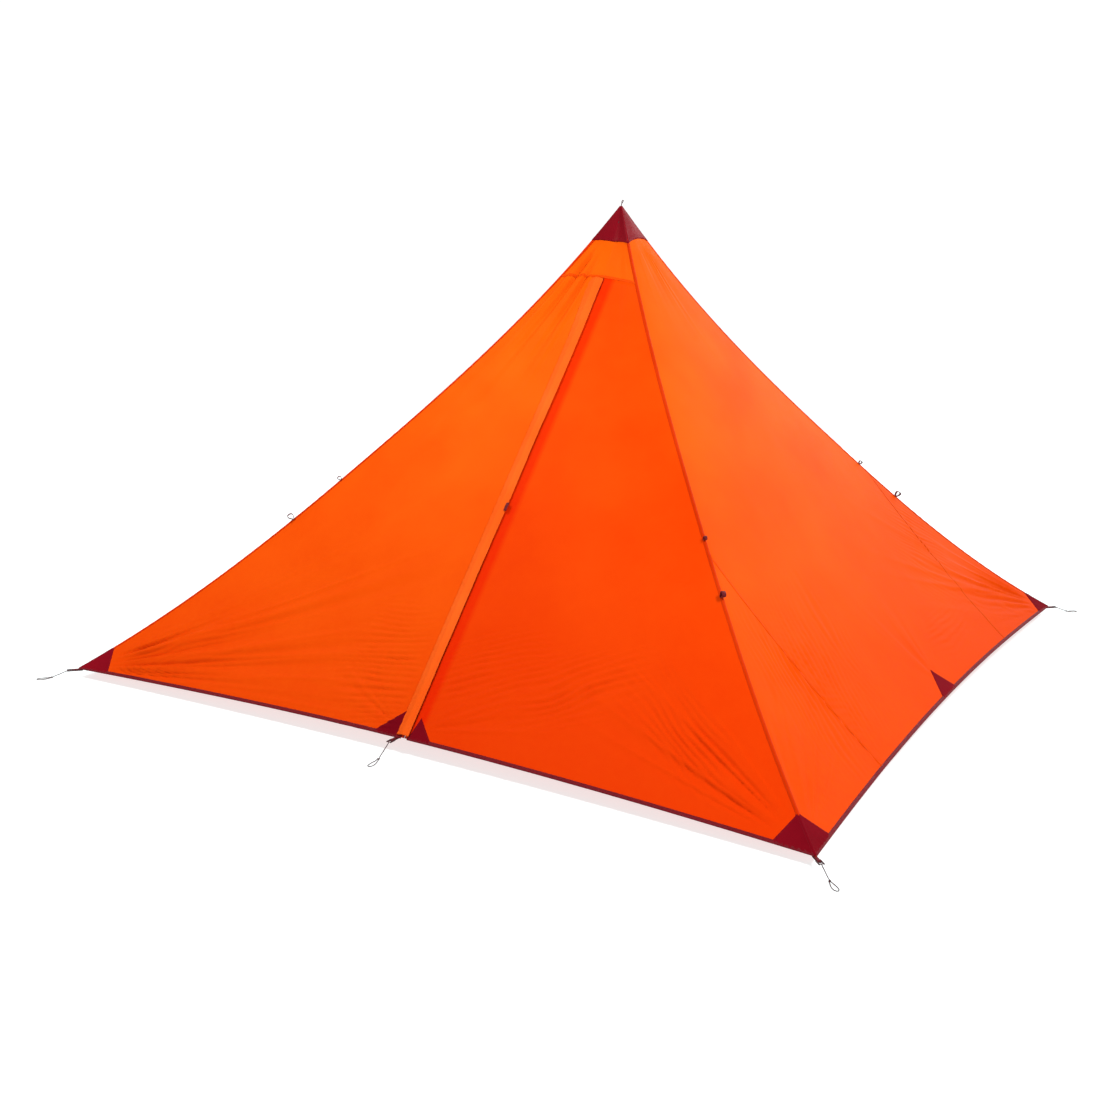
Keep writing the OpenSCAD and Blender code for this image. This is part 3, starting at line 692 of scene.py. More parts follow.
def cord_height(stake, z):
    """The route's heights, stretched so that it starts at the stake point's own height."""
    start = stake[3] - TIP_DROP
    route_start = CORD_ROUTE_MM[0][2] / 1000
    return CORD_LOW + np.maximum(0, z - CORD_LOW) * (start - CORD_LOW) / (route_start - CORD_LOW)


def cord_line(stake):
    route = np.array(CORD_ROUTE_MM) / 1000
    route[:, 2] = cord_height(stake, route[:, 2])
    return through(at_stake(stake, route), 6)


def cord_curve(name, line):
    data = bpy.data.curves.new(name, "CURVE")
    data.dimensions = "3D"
    data.bevel_depth = CORD_D / 2
    data.bevel_resolution = 5
    data.use_fill_caps = True
    spline = data.splines.new("POLY")
    spline.points.add(len(line) - 1)
    spline.points.foreach_set("co", np.c_[line, np.ones(len(line))].ravel())
    data.materials.append(CORD)
    piece = link(name, data)
    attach(piece, "canopy")
    return piece


def knot_piece(stake):
    """An overhand knot drawn tight round the cord: a trefoil tube."""
    t = np.linspace(0, 2 * np.pi, 73)
    size = (KNOT_R - CORD_D * 0.42) / 3.0
    x = (np.sin(t) + 2 * np.sin(2 * t)) * size * 1.15
    y = (np.cos(t) - 2 * np.cos(2 * t)) * size
    z = -np.sin(3 * t) * size * 1.2
    centre = max(KNOT_R, float(cord_height(stake, KNOT_UP)))
    line = at_stake(stake, np.stack([KNOT_OUT + x, y, centre + z], -1))
    return tube_piece(f"stake_knot_{stake[0]}", line, CORD_D * 0.44, CORD, sides=8)


for stake in STAKES:
    line = cord_line(stake)
    knot = knot_piece(stake)
    piece = cord_curve(f"stake_cord_{stake[0]}", line)
    stand_in(piece, "cord", f"cord_{stake[0]}")
    stand_in(knot, "cord")
    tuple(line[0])  # fmt: skip
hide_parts("stake_knots")

# ---- cloth panels ----

GUSSET_MARGIN = 0.008
GUSSET_TYPICAL_ROW = 0.58
FINER = 0.8  # rows lie closer together toward the hem, where the ripples are


def gusset_row(wall, side):
    """The row where a wall becomes wide enough for a gusset outside the seam."""
    sag = RIDGE_SAG[(wall + 3 if side < 0 else wall) % 4] * sag_shape(GUSSET_TYPICAL_ROW)
    return ((SEAM_X + GUSSET_MARGIN) * math.sqrt(2) + sag * RISE / RIDGE_LEN) / CORNER_R


def seam_q(wall, side, row):
    wide = half_width(wall, side, row) >= SEAM_X
    return np.where(wide, q_at(wall, side * SEAM_X, row), side)


def centre_spot(wall):
    def spot(i, j):
        row = PANEL_TOP_ROW + (1 - PANEL_TOP_ROW) * j**FINER
        left, right = seam_q(wall, -1, row), seam_q(wall, 1, row)
        return left + (right - left) * i, row

    return spot


def gusset_spot(wall, side):
    top = gusset_row(wall, side)

    def spot(i, j):
        row = top + (1 - top) * j
        seam = q_at(wall, side * SEAM_X, row)
        low, high = (seam, side) if side > 0 else (side, seam)
        return low + (high - low) * i, row

    return spot


def flat_size(spot, wall):
    """Width, length and area of the cloth before it was pitched, from the smooth surface."""
    i, j = np.meshgrid(np.linspace(0, 1, 33), np.linspace(0, 1, 33))
    p = wall_spot(wall, *np.broadcast_arrays(*spot(i, j)), creased=False)
    across = np.linalg.norm(np.diff(p, axis=1), axis=2).sum(1)
    along = np.linalg.norm(np.diff(p, axis=0), axis=2).sum(0)
    u, v = p[1:, :-1] - p[:-1, :-1], p[:-1, 1:] - p[:-1, :-1]
    area = float(np.linalg.norm(np.cross(u, v), axis=2).sum())
    width, length = float(across.max()), float(along.max())
    return (round(width, 3), round(length, 3)), min(round(area, 3), round(width * length, 3))


def declare(piece, wall, spot, nodes):
    """Hides the CAD panels that a sheet stands for, and works out the size that it was cut to."""
    stand_in(piece, "canopy_cloth", *nodes)
    flat, area = flat_size(spot, wall)


def sheet_piece(name, wall, columns, rows, spot, nodes):
    declare(cloth_piece(name, wall, columns, rows, spot, ORANGE), wall, spot, nodes)


WALL_NAMES = {RIGHT: "right", BACK: "back", LEFT: "left"}
GUSSET_NAMES = {
    RIGHT: ("right_front_gusset", "right_back_gusset"),
    BACK: ("back_right_gusset", "back_left_gusset"),
    LEFT: ("left_back_gusset", "left_front_gusset"),
}
for wall, wall_name in WALL_NAMES.items():
    sheet_piece(f"{wall_name}_panel_cloth", wall, 161, 281, centre_spot(wall), [f"{wall_name}_panel"])
    for side, node in zip((-1, 1), GUSSET_NAMES[wall]):
        sheet_piece(f"{node}_cloth", wall, 71, 111, gusset_spot(wall, side), [node])


def front_half_spot(side):
    """A half of the front wall, from the zip's edge to the ridge at its side."""

    def spot(i, j):
        row = TOP_ROW + (1 - TOP_ROW) * j**FINER
        zip_q = q_at(FRONT, side * ZIP_EDGE + 0 * row, row)
        left, right = (zip_q, side) if side > 0 else (side, zip_q)
        return left + (right - left) * i, row

    return spot


def front_top_spot(i, j):
    row = PANEL_TOP_ROW + (TOP_ROW - PANEL_TOP_ROW) * j
    return -1 + 2 * i + 0 * row, row


sheet_piece("front_left_cloth", FRONT, 171, 281, front_half_spot(-1), ["front_left_panel"])
sheet_piece("front_top_cloth", FRONT, 61, 31, front_top_spot, ["front_top_panel"])

# The right half of the front is one cloth.
FOLD = next(j for j in frame["record"]["behaviour"]["joints"] if j["name"] == "door_fold")
OUT = np.array((0, OUT_Y, OUT_Z))
fold_axis = np.array(FOLD["axis"])
fold_side = np.cross(fold_axis, OUT)
fold_side *= np.sign(fold_side[0]) / np.linalg.norm(fold_side)
FOLD_MIDDLE = 0.9
fold_middle = np.array(FOLD["pos_m"]) + fold_axis * FOLD_MIDDLE


def over_fold(piece):
    """Bakes a piece's transform into its mesh."""
    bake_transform(piece)


right_spot = front_half_spot(1)
door_cloth = cloth_piece("front_right_cloth", FRONT, 171, 281, right_spot, SHADED_DOOR_ORANGE, body=None)
over_fold(door_cloth)
declare(door_cloth, FRONT, right_spot, ["door_panel", "front_right_panel"])

# ---- stitches: small spindles of thread laid along a line on the cloth ----

STITCH, STITCH_PITCH = 0.0034, 0.0046
STITCH_HALF_WIDTH, STITCH_HEIGHT, STITCH_SINK = 0.00045, 0.0005, 0.0002
stitch_sets = {}


def stitches(key, line, out):
    """Adds a row of stitches along a line. out is the direction away from the cloth, for each point."""
    line, out = np.asarray(line), np.broadcast_to(out, np.shape(line))
    at = np.r_[0, np.cumsum(np.linalg.norm(np.diff(line, axis=0), axis=1))]
    mids = np.arange(STITCH_PITCH, at[-1] - STITCH_PITCH / 2, STITCH_PITCH)

    def spot(distance):
        return np.stack([np.interp(distance, at, line[:, k]) for k in range(3)], -1)

    centre, front, rear = spot(mids), spot(mids + STITCH / 2), spot(mids - STITCH / 2)
    away = np.stack([np.interp(mids, at, out[:, k]) for k in range(3)], -1)
    side = np.cross(front - rear, away)
    side *= STITCH_HALF_WIDTH / np.maximum(np.linalg.norm(side, axis=1), 1e-9)[:, None]
    sink, top = away * STITCH_SINK, centre + away * STITCH_HEIGHT
    block = np.stack([rear - sink, centre + side, top, centre - side, centre - sink, front - sink], 1)
    stitch_sets.setdefault(key, []).append(block)


SPINDLE_FACES = ((0, 2, 1), (0, 3, 2), (0, 4, 3), (0, 1, 4), (5, 1, 2), (5, 2, 3), (5, 3, 4), (5, 4, 1))


def finish_stitches():
    bends = {"fold": over_fold, "flap_root": over_flap_stitching}
    for (name, body, material), blocks in stitch_sets.items():
        points = np.concatenate(blocks)
        faces = (np.arange(len(points))[:, None, None] * 6 + np.array(SPINDLE_FACES)).reshape(-1, 3)
        rides = None if body in bends else body
        piece = mesh_piece(name, points, faces.tolist(), material, rides, flat=True)
        if body in bends:
            bends[body](piece)


def sew(key, wall, line):
    stitches(key, line, turned(OUT, wall))


PANEL_KEY = ("panel_stitching", "canopy", THREAD)
PATCH_KEY = ("patch_stitching", "canopy", MAROON_THREAD)


# ---- ridge seams, panel seams, binding ----

RIDGE_PROFILE = (
    (-0.0085, 0.0003), (-0.0080, 0.0010), (-0.0040, 0.0013), (-0.0012, 0.0020), (0, 0.0024),
    (0.0012, 0.0020), (0.0040, 0.0013), (0.0080, 0.0010), (0.0085, 0.0003), (0.0040, 0.0000), (-0.0040, 0.0000),
)  # fmt: skip


def ridge_points(ridge, rows, aside, lift):
    """Points beside a ridge: aside is the distance from it, less than 0 on the wall at its left."""
    wall = ridge if aside <= 0 else (ridge + 1) % 4
    side = 1 if aside <= 0 else -1
    width = half_width(wall, side, rows)
    points = wall_spot(wall, side * (1 - abs(aside) / width), rows, lift)
    if aside == 0:
        points = (points + wall_spot((ridge + 1) % 4, -1 + 0 * rows, rows, lift)) / 2
    return points


PATCH_TOP_ROW = 0.947
RIDGE_ROWS = np.linspace(0.056, PATCH_TOP_ROW + 0.002, 400)


def ridge_band(name, ridge, rows, material, grow=1.0):
    """A raised band folded over a ridge."""
    wobble = grow + 0.22 * np.sin(rows * 410) * noise(rows * 24, 0.5, ridge)
    rings = np.stack([ridge_points(ridge, rows, a * grow, h * wobble) for a, h in RIDGE_PROFILE], 1)
    across = np.array([a for a, _ in RIDGE_PROFILE])
    return ribbon(name, rings, material, uv=pairs(across, rows[:, None] * RIDGE_LEN))


for ridge, corner in enumerate(CORNER_NAMES):
    stand_in(ridge_band(f"ridge_seam_{corner}", ridge, RIDGE_ROWS, SEAM_ORANGE), "canopy_cloth")
    for aside in (-0.0062, 0.0062):
        wall = ridge if aside < 0 else (ridge + 1) % 4
        line = ridge_points(ridge, RIDGE_ROWS, aside, 0.0012)
        sew(("ridge_stitching", "canopy", THREAD), wall, line)

# Across and up, in a section of a flat seam
SEAM_PROFILE = (
    (-0.0055, 0.0003), (-0.0050, 0.0010), (0.0, 0.0012), (0.0050, 0.0010), (0.0058, 0.0003), (0.0, 0.0001),
)  # fmt: skip
SEAM_ACROSS = np.array([a for a, _ in SEAM_PROFILE])
SEAM_STITCHES = (-0.0038, 0.0038)
SEAM_STITCH_LIFT = 0.0011


def flat_seam(name, wall, beside, uv):
    """A flat seam and its stitches. beside(a, h) is its line at a across it and h above the wall."""
    rings = np.stack([beside(a, h) for a, h in SEAM_PROFILE], 1)
    stand_in(ribbon(name, rings, WALL_SEAM, uv=uv), "canopy_cloth")
    for a in SEAM_STITCHES:
        sew(PANEL_KEY, wall, beside(a, SEAM_STITCH_LIFT))


for wall, wall_name in WALL_NAMES.items():
    for side, side_name in ((-1, "left"), (1, "right")):
        rows = np.linspace(gusset_row(wall, side), 0.9965, 230)
        x = side * SEAM_X

        def beside(a, h):
            return wall_spot(wall, np.clip(q_at(wall, x + a + 0 * rows, rows), -1, 1), rows, h)

        uv = pairs(x + SEAM_ACROSS, rows[:, None] * SLOPE_LEN)
        flat_seam(f"{wall_name}_wall_{side_name}_seam", wall, beside, uv)

# The seam between the front's top panel and the two cloths below it
q_line = np.linspace(-0.985, 0.985, 120)
TOP_HALF_WIDTH = 0.17
flat_seam(
    "front_top_seam", FRONT, lambda a, h: wall_spot(FRONT, q_line, TOP_ROW + a / SLOPE_LEN, h),
    pairs((q_line * TOP_HALF_WIDTH)[:, None], TOP_ROW * SLOPE_LEN + SEAM_ACROSS),
)  # fmt: skip

HEM_W = 0.013
HEM_PROFILE = (
    (-HEM_W, 0.0005), (-HEM_W + 0.0004, 0.0011), (-HEM_W * 0.5, 0.0015), (-0.0016, 0.0014), (0.0002, 0.0009),
    (0.0006, 0.0001), (0.0002, -0.0008), (-0.0016, -0.0012), (-HEM_W * 0.5, -0.0011), (-HEM_W, -0.0008),
    (-HEM_W, 0.0001),
)  # fmt: skip


def binding(name, wall, left, right, nodes, body="canopy"):
    """A tape folded round the edge of the cloth from x = left to x = right."""
    count = max(12, int((right - left) / 0.009))
    q = np.linspace(left, right, count) / HALF
    rings = np.stack([wall_spot(wall, q, 1 + a / SLOPE_LEN, h + 0.0002) for a, h in HEM_PROFILE], 1)
    folds = body == "fold"
    piece = ribbon(name, rings, HEM_TAPE, None if folds else body)
    stand_in(piece, "trim_cloth", *nodes)
    if folds:
        over_fold(piece)
    key = ("door_hem_stitching" if folds else "hem_stitching", body, MAROON_THREAD)
    for a in (-HEM_W + 0.0025, -0.0028):
        sew(key, wall, wall_spot(wall, q, 1 + a / SLOPE_LEN, 0.0016))


HEM_END = HALF - 0.003
binding("binding_front_left", FRONT, -HEM_END, -ZIP_EDGE, ["hem_front_left"])
binding("binding_front_right", FRONT, ZIP_EDGE, HEM_END, ["hem_door", "hem_front_right"], "fold")
for wall, wall_name in WALL_NAMES.items():
    binding(f"binding_{wall_name}", wall, -HEM_END, HEM_END, [f"hem_{wall_name}"])

# ---- patches ----

PATCH_SIDE = 0.135
PATCH_LIFT, PATCH_RIM, PATCH_CLOTH = 0.0017, 0.0009, 0.0007
PATCH_STITCH_INSET = 0.004


def patch_piece(name, wall, corners, body="canopy"):
    """A three-cornered patch on a wall. corners are (x, distance above the hem), the tip last."""
    size = 31
    (x1, u1), (x2, u2), (x0, u0) = corners
    i, j = np.meshgrid(np.linspace(0, 1, size), np.linspace(0, 1, size))
    x = (1 - j) * x0 + j * ((1 - i) * x1 + i * x2)
    up = (1 - j) * u0 + j * ((1 - i) * u1 + i * u2)
    row = 1 - up / SLOPE_LEN
    q = np.clip(q_at(wall, x, row), -1, 1)
    rim = np.minimum(1, np.minimum(np.minimum(i, 1 - i), 1 - j) * (size - 1) / 2)
    points = wall_spot(wall, q, row, PATCH_RIM + (PATCH_LIFT - PATCH_RIM) * rim)
    uv = np.stack([x, up], -1)
    piece = mesh_piece(name, points, grid_faces(size, size), MAROON, body, uv)
    faces = piece.data.polygons
    if faces[len(faces) // 2].normal.dot(Vector(turned(OUT, wall))) < 0:
        piece.data.flip_normals()
    thicken(piece, PATCH_CLOTH)
    return piece


def stitch_patch(wall, corners, key):
    """A row of stitches just inside each side of a patch."""
    shape = np.array(corners, float)
    middle = shape.mean(0)
    for a, b in zip(shape, np.roll(shape, -1, 0)):
        if max(a[1], b[1]) < 0.02:
            continue
        t = np.linspace(0.03, 0.97, 40)[:, None]
        line = a * (1 - t) + b * t
        side = np.array((b[1] - a[1], a[0] - b[0]))
        side /= max(np.linalg.norm(side), 1e-9)
        if side @ (middle - a) < 0:
            side = -side
        line = line + side * PATCH_STITCH_INSET
        row = 1 - np.maximum(line[:, 1], 0.003) / SLOPE_LEN
        q = np.clip(q_at(wall, line[:, 0], row), -0.9995, 0.9995)
        sew(key, wall, wall_spot(wall, q, row, PATCH_LIFT + 0.0001))


def corner_half(ridge, wall, side):
    """Half of a corner patch: along the hem and up the ridge, with a straight edge between."""
    up = PATCH_SIDE * 0.885
    ridge_x = float(half_width(wall, side, 1 - up / SLOPE_LEN)) - 0.0004
    corners = [(side * (HALF - PATCH_SIDE), 0.0), (side * (HALF - 0.0012), 0.0), (side * ridge_x, up)]
    piece = patch_piece(f"corner_patch_{CORNER_NAMES[ridge]}_{wall}", wall, corners)
    stitch_patch(wall, corners, PATCH_KEY)
    bpy.context.view_layer.objects.active = piece
    bpy.ops.object.modifier_apply(modifier="thickness")
    return piece


FOLD_ROWS = np.linspace(PATCH_TOP_ROW, 0.9985, 40)
for ridge, corner in enumerate(CORNER_NAMES):
    parts = [corner_half(ridge, ridge, 1), corner_half(ridge, (ridge + 1) % 4, -1)]
    parts.append(ridge_band(f"patch_fold_{corner}", ridge, FOLD_ROWS, MAROON, 1.25))
    stand_in(joined(f"corner_patch_{corner}_cloth", parts), "trim_cloth", f"corner_patch_{corner}")


def hem_patch(node, wall, left, right, top, height, body="canopy"):
    corners = [(left, 0.0), (right, 0.0), (top, height)]
    stand_in(patch_piece(f"{node}_cloth", wall, corners, body), "trim_cloth", node)
    key = PATCH_KEY if body == "canopy" else (f"{body}_patch_stitching", body, MAROON_THREAD)
    stitch_patch(wall, corners, key)


for wall, wall_name in WALL_NAMES.items():
    hem_patch(f"{wall_name}_hem_patch", wall, -0.080, 0.080, 0.0, 0.105)
hem_patch("door_patch_left", FRONT, -0.124, -ZIP_EDGE, -ZIP_EDGE - 0.001, 0.110)
hem_patch("door_patch_right", FRONT, ZIP_EDGE, 0.106, 0.032, 0.080, "door")

# ---- peak cap ----

CAP_TIP_ROW = 0.0022
CAP_STATIONS = (-1.0, -0.96, -0.86, -0.6, -0.3, 0.0, 0.3, 0.6, 0.86, 0.96)


def cap_ring(row, lift):
    """A ring round the cap. The lower edge dips at the ridges, and the middles are drawn in a little."""
    points = []
    for wall in range(4):
        q = np.array(CAP_STATIONS)
        dip = 0.006 * (np.abs(q) ** 3 - 0.55) * (row / CAP_ROW) ** 3
        if wall == RIGHT:
            dip = dip + 0.007 * (1 - q * q) * (row / CAP_ROW) ** 3
        pleat = 0.0010 * np.sin(q * 9 + wall * 2.1) * (row / CAP_ROW)
        soft = 0.0012 * np.exp(-(((1 - np.abs(q)) / 0.08) ** 2)) * (row / CAP_ROW)
        lifts = lift + pleat * (1 - q * q) + soft
        points.append(wall_spot(wall, q, row + dip / SLOPE_LEN * 1.4, lifts, creased=False))
    return np.concatenate(points)


cap_rows = [CAP_TIP_ROW + (CAP_ROW - CAP_TIP_ROW) * t**1.15 for t in np.linspace(0, 1, 26)]
cap_rings = [cap_ring(row, 0.0022 + 0.0006 * smooth(0.9, 0.93, row / CAP_ROW)) for row in cap_rows]
cap_rings.append(cap_ring(CAP_ROW, 0.0018))
cap_rings += [cap_ring(row, 0.0012) for row in cap_rows[:10:-3]]
cap_uv = pairs(np.tile(np.array(CAP_STATIONS) * 0.07, 4), np.linspace(0, 0.14, len(cap_rings))[:, None])
stand_in(ribbon("peak_cap_cloth", cap_rings, MAROON_CAP, uv=cap_uv), "trim_cloth", "peak_cap")
CAP_KEY = ("cap_stitching", "canopy", MAROON_THREAD)
ring_out = np.repeat([turned(OUT, w) for w in range(4)], len(CAP_STATIONS), 0)
for row in (CAP_ROW - 0.0022, CAP_ROW - 0.0052):
    ring = cap_ring(row, 0.0029)
    stitches(CAP_KEY, np.vstack([ring, ring[:1]]), np.vstack([ring_out, ring_out[:1]]))
rows = np.linspace(0.012, CAP_ROW - 0.001, 24)
for ridge in range(4):
    for wall, side in ((ridge, 1), ((ridge + 1) % 4, -1)):
        q = side * (1 - 0.0035 / half_width(wall, side, rows))
        sew(CAP_KEY, wall, wall_spot(wall, q, rows, 0.0034, False))

# ---- cord loop at the peak, and the strap that holds the pole cup ----

loop_mid_z = sum(corner[2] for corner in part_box("peak_loop")) / 2
LOOP_R, LOOP_FOOT, LOOP_LEAN = 0.0066, (0, 0, -0.010), 0.38
t = np.linspace(-0.42 * np.pi, 1.42 * np.pi, 41)
pinch = 0.34 * np.clip((np.sin(t) + 1) / 2, 0, 1) ** 0.5
x = LOOP_R * np.cos(t) * pinch / math.sqrt(2)
loop_line = np.stack([x + 0.0006 * np.sin(2 * t), x, loop_mid_z + 0.0005 + LOOP_R * np.sin(t)], -1)
loop_line = np.vstack([loop_line[:1] + LOOP_FOOT, loop_line, loop_line[-1:] + LOOP_FOOT])
# It leans a little along the direction in which the photograph looks
lean = np.array((CAMERA_AHEAD.y, -CAMERA_AHEAD.x)) * LOOP_LEAN
loop_line[:, :2] += np.clip(loop_line[:, 2:] - PEAK, 0, 1) * lean
stand_in(tube_piece("peak_cord_loop", through(loop_line, 3), CORD_D / 2, CORD), "cord", "peak_loop")

# Across and up, as shares of a strap's width and thickness, round its section
STRAP = (
    (-0.5, 0.3), (-0.46, 0.5), (0.46, 0.5), (0.5, 0.3),
    (0.5, -0.3), (0.46, -0.5), (-0.46, -0.5), (-0.5, -0.3),
)  # fmt: skip


def bent_strap(name, centre_line, normals, width_way, width, thickness):
    """A flat webbing strap along a line: normals give its face, width_way its width."""
    across = np.array(width_way) * width
    rings = []
    for spot, normal in zip(centre_line, normals):
        up = np.array(normal) * thickness
        rings.append([spot + across * a + up * b for a, b in STRAP])
    return ribbon(name, rings, WEBBING)


z = np.linspace(*(corner[2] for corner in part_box("peak_strap")), 14)
strap_line = np.stack([0 * z, 0.0004 * np.sin((z - z[0]) * 160), z], -1)
strap = bent_strap("peak_strap_webbing", strap_line, [(0, 1, 0)] * len(z), (1, 0, 0), 0.012, 0.0016)
stand_in(strap, "webbing", "peak_strap")

# ---- ridge loops: folded webbing standing on the ridges ----


def ridge_frame(ridge, r):
    """Spot on a ridge at distance r from the axis, its downhill direction, and its outward normal."""
    s = r / CORNER_R + 0.04 * sag_shape(r / CORNER_R)
    at, beyond = np.array(ridge_spot(ridge, s)), np.array(ridge_spot(ridge, s + 0.004))
    way = (beyond - at) / np.linalg.norm(beyond - at)
    a = math.radians(90 * ridge - 45)
    flat = np.array((math.cos(a), math.sin(a), 0))
    downhill = flat * way[0] + np.array((0, 0, way[1]))
    normal = flat * -way[1] + np.array((0, 0, way[0]))
    return flat * at[0] + np.array((0, 0, at[1])), downhill, normal, np.cross(normal, downhill)


def ridge_loop(name, ridge, r, half_base, height, width):
    """A teardrop loop of webbing: up from the ridge, round at the top, and down again."""
    spot, downhill, normal, side = ridge_frame(ridge, r)
    t = np.linspace(0, 1, 33)
    lean = 0.12 * height
    u = -half_base * (0.86 * np.sin(2 * np.pi * t) + 0.14 * np.cos(np.pi * t))
    v = height * np.sin(np.pi * t) ** 0.9
    u = u + lean * (v / height) ** 2
    line = spot + u[:, None] * downhill + v[:, None] * normal
    way = np.gradient(line, axis=0)
    face = np.cross(way, side)
    face /= np.linalg.norm(face, axis=1)[:, None]
    return bent_strap(name, line, face, side, width, 0.0019)


# Name, distance from the axis, half the base, height and width
for label, *sizes in (("upper", 1.000, 0.0066, 0.015, 0.010), ("lower", 1.170, 0.0100, 0.024, 0.013)):
    made = [ridge_loop(f"ridge_loop_{label}_{corner}", n, *sizes) for n, corner in enumerate(CORNER_NAMES)]
    stand_in(joined(f"ridge_loops_{label}_webbing", made), "webbing", f"ridge_loops_{label}")

# ---- storm flap, with its tab ----

zip_foot = np.array(middle_spot(FRONT, hem_share(0)))
zip_head = np.array(middle_spot(FRONT, 0.22))
ZIP_ANGLE = math.atan2(zip_head[1] - zip_foot[1], zip_head[0] - zip_foot[0])
ZIP_LEN = float(np.linalg.norm(np.array(middle_spot(FRONT, TOP_ROW)) - zip_foot))
ZIP_UP = np.array((0, math.cos(ZIP_ANGLE), math.sin(ZIP_ANGLE)))
ZIP_OUT = np.array((0, -math.sin(ZIP_ANGLE), math.cos(ZIP_ANGLE)))


def on_zip(x, up, out):
    """Points from x right, distance up the zip, and height above it."""
    x, up, out = (np.asarray(value, float)[..., None] for value in np.broadcast_arrays(x, up, out))
    return np.array((0, *zip_foot)) + x * np.array((1, 0, 0)) + up * ZIP_UP + out * ZIP_OUT


FLAP_HEIGHT, FLAP_CLOTH = 0.009, 0.0006
FLAP_FOOT = 0.010


def flap_surface(i, up):
    """Place of the flap's outer face: i from 0 at the stitching to 1 at the free edge."""
    top = smooth(ZIP_LEN - 0.30, ZIP_LEN - 0.006, up)
    left = -FLAP_STITCH - 0.012 * top
    right = FLAP_REACH - 0.004 * top + 0.0016 * noise(up / 0.23, 0.3, 4) + 0.0006 * noise(up / 0.05, 0.3, 5)
    x = left + (right - left) * i
    crown = 0.002 + FLAP_HEIGHT * np.sin(np.pi * np.minimum(1, 0.06 + i * 0.86))
    crown = np.minimum(crown, 0.0010 + 0.020 * i)
    crown = crown + 0.0010 * noise(up / 0.16, i * 1.5, 6) * i * (1.3 - i)
    gathers = np.sin(2 * np.pi * (up / 0.034 + 0.6 * noise(up / 0.1, 0.2, 8)))
    crown = crown + 0.0006 * gathers * np.exp(-((i / 0.22) ** 2))
    fold = 0.0005 * smooth(0.80, 0.815, i) + 0.0005 * (1 - smooth(0.10, 0.115, i))
    return on_zip(x, up, crown + CLOTH + fold), np.stack([x, up + 0 * x], -1)


i, up = np.meshgrid(np.r_[0, np.linspace(0.02, 0.98, 29), 1], np.linspace(ZIP_LEN - 0.006, FLAP_FOOT, 341))
flap_points, flap_uv = flap_surface(i, up)
flap_root = on_zip(-FLAP_STITCH, 0.9, 0.002)


def over_flap_stitching(piece):
    """Bakes a piece's transform into its mesh."""
    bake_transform(piece)


flap_faces = grid_faces(i.shape[1], i.shape[0])
flap = mesh_piece("storm_flap_cloth", flap_points, flap_faces, LIT_FLAP_ORANGE, None, flap_uv)
over_flap_stitching(flap)
thicken(flap, FLAP_CLOTH)
stand_in(flap, "flap_cloth", "storm_flap")
up_line = np.linspace(ZIP_LEN - 0.010, FLAP_FOOT + 0.004, 300)
for share in (0.06, 0.835, 0.955):
    names = ("flap_root_stitching", "flap_root") if share < 0.1 else ("flap_stitching", "storm_flap")
    stitches((*names, THREAD), flap_surface(share + 0 * up_line, up_line)[0], ZIP_OUT)

TAB_UP, TAB_LEN = 0.830, 0.030
# Right of the zip and above it, round the tab's section
TAB_PROFILE = (
    (0.012, 0.0092), (0.015, 0.0102), (0.019, 0.0108), (0.0232, 0.0106), (0.0238, 0.0099),
    (0.0232, 0.0093), (0.019, 0.0095), (0.015, 0.0089), (0.012, 0.0080),
)  # fmt: skip
tab_x, tab_z = np.array(TAB_PROFILE).T
bows = [(share, 0.0006 * math.sin(share * math.pi)) for share in np.linspace(0, 1, 12)]
tab_rings = [on_zip(tab_x, TAB_UP + TAB_LEN * share, tab_z + bow) for share, bow in bows]
stand_in(ribbon("flap_tab_webbing", tab_rings, WEBBING, "storm_flap"), "trim_cloth", "flap_tab")

# ---- zip ----

ZIP_END = 0.004
TAPE_Z, TAPE_W, CHAIN_GAP = -0.0014, 0.014, 0.0008
TOOTH_PITCH = 0.0021
zip_run_len = ZIP_LEN - 3 * ZIP_END
TAPE_PROFILE = (
    (CHAIN_GAP, -0.0003), (CHAIN_GAP, 0.0003), (0.004, 0.0004), (TAPE_W - 0.001, 0.0003), (TAPE_W, 0.0),
    (TAPE_W - 0.001, -0.0003), (0.004, -0.0003),
)  # fmt: skip
TOOTH_LINE = ((0.0030, 0.0004), (0.0014, 0.0008), (0.0009, 0.0), (0.0014, -0.0008), (0.0030, -0.0004))
TOOTH_SECTION = ((-0.00045, 0), (0, 0.0004), (0.00045, 0), (0, -0.0004))
TOOTH_DRIFT, TOOTH_Z = 0.0006, -0.0003
TOOTH_FACES = tube_faces(len(TOOTH_SECTION), len(TOOTH_LINE))
tape_x, tape_z = np.array(TAPE_PROFILE).T
for side, side_name, body in ((-1, "left", "canopy"), (1, "right", "door")):
    ups = np.linspace(ZIP_END, ZIP_END + zip_run_len, 180)
    tape_rings = [on_zip(side * tape_x, up, TAPE_Z + tape_z) for up in ups]
    tape = ribbon(f"zip_tape_{side_name}", tape_rings, ZIP_TAPE, body)
    points, faces = [], []
    for up in np.arange(ZIP_END + 0.001, ZIP_END + zip_run_len - 0.001, TOOTH_PITCH):
        first = len(points)
        for m, (a, h) in enumerate(TOOTH_LINE):
            along = up + 0.25 * side * TOOTH_PITCH + (m / 4 - 0.5) * TOOTH_DRIFT
            for du, dh in TOOTH_SECTION:
                points.append(on_zip(side * a, along + du, TOOTH_Z + h + (dh if h >= 0 else -dh)))
        faces += [tuple(first + v for v in face) for face in TOOTH_FACES]
    coil = outward(mesh_piece(f"zip_coil_{side_name}", points, faces, ZIP_COIL, body))
    stand_in(coil, "zip_tape")
    stand_in(tape, "zip_tape", f"zip_chain_{side_name}")


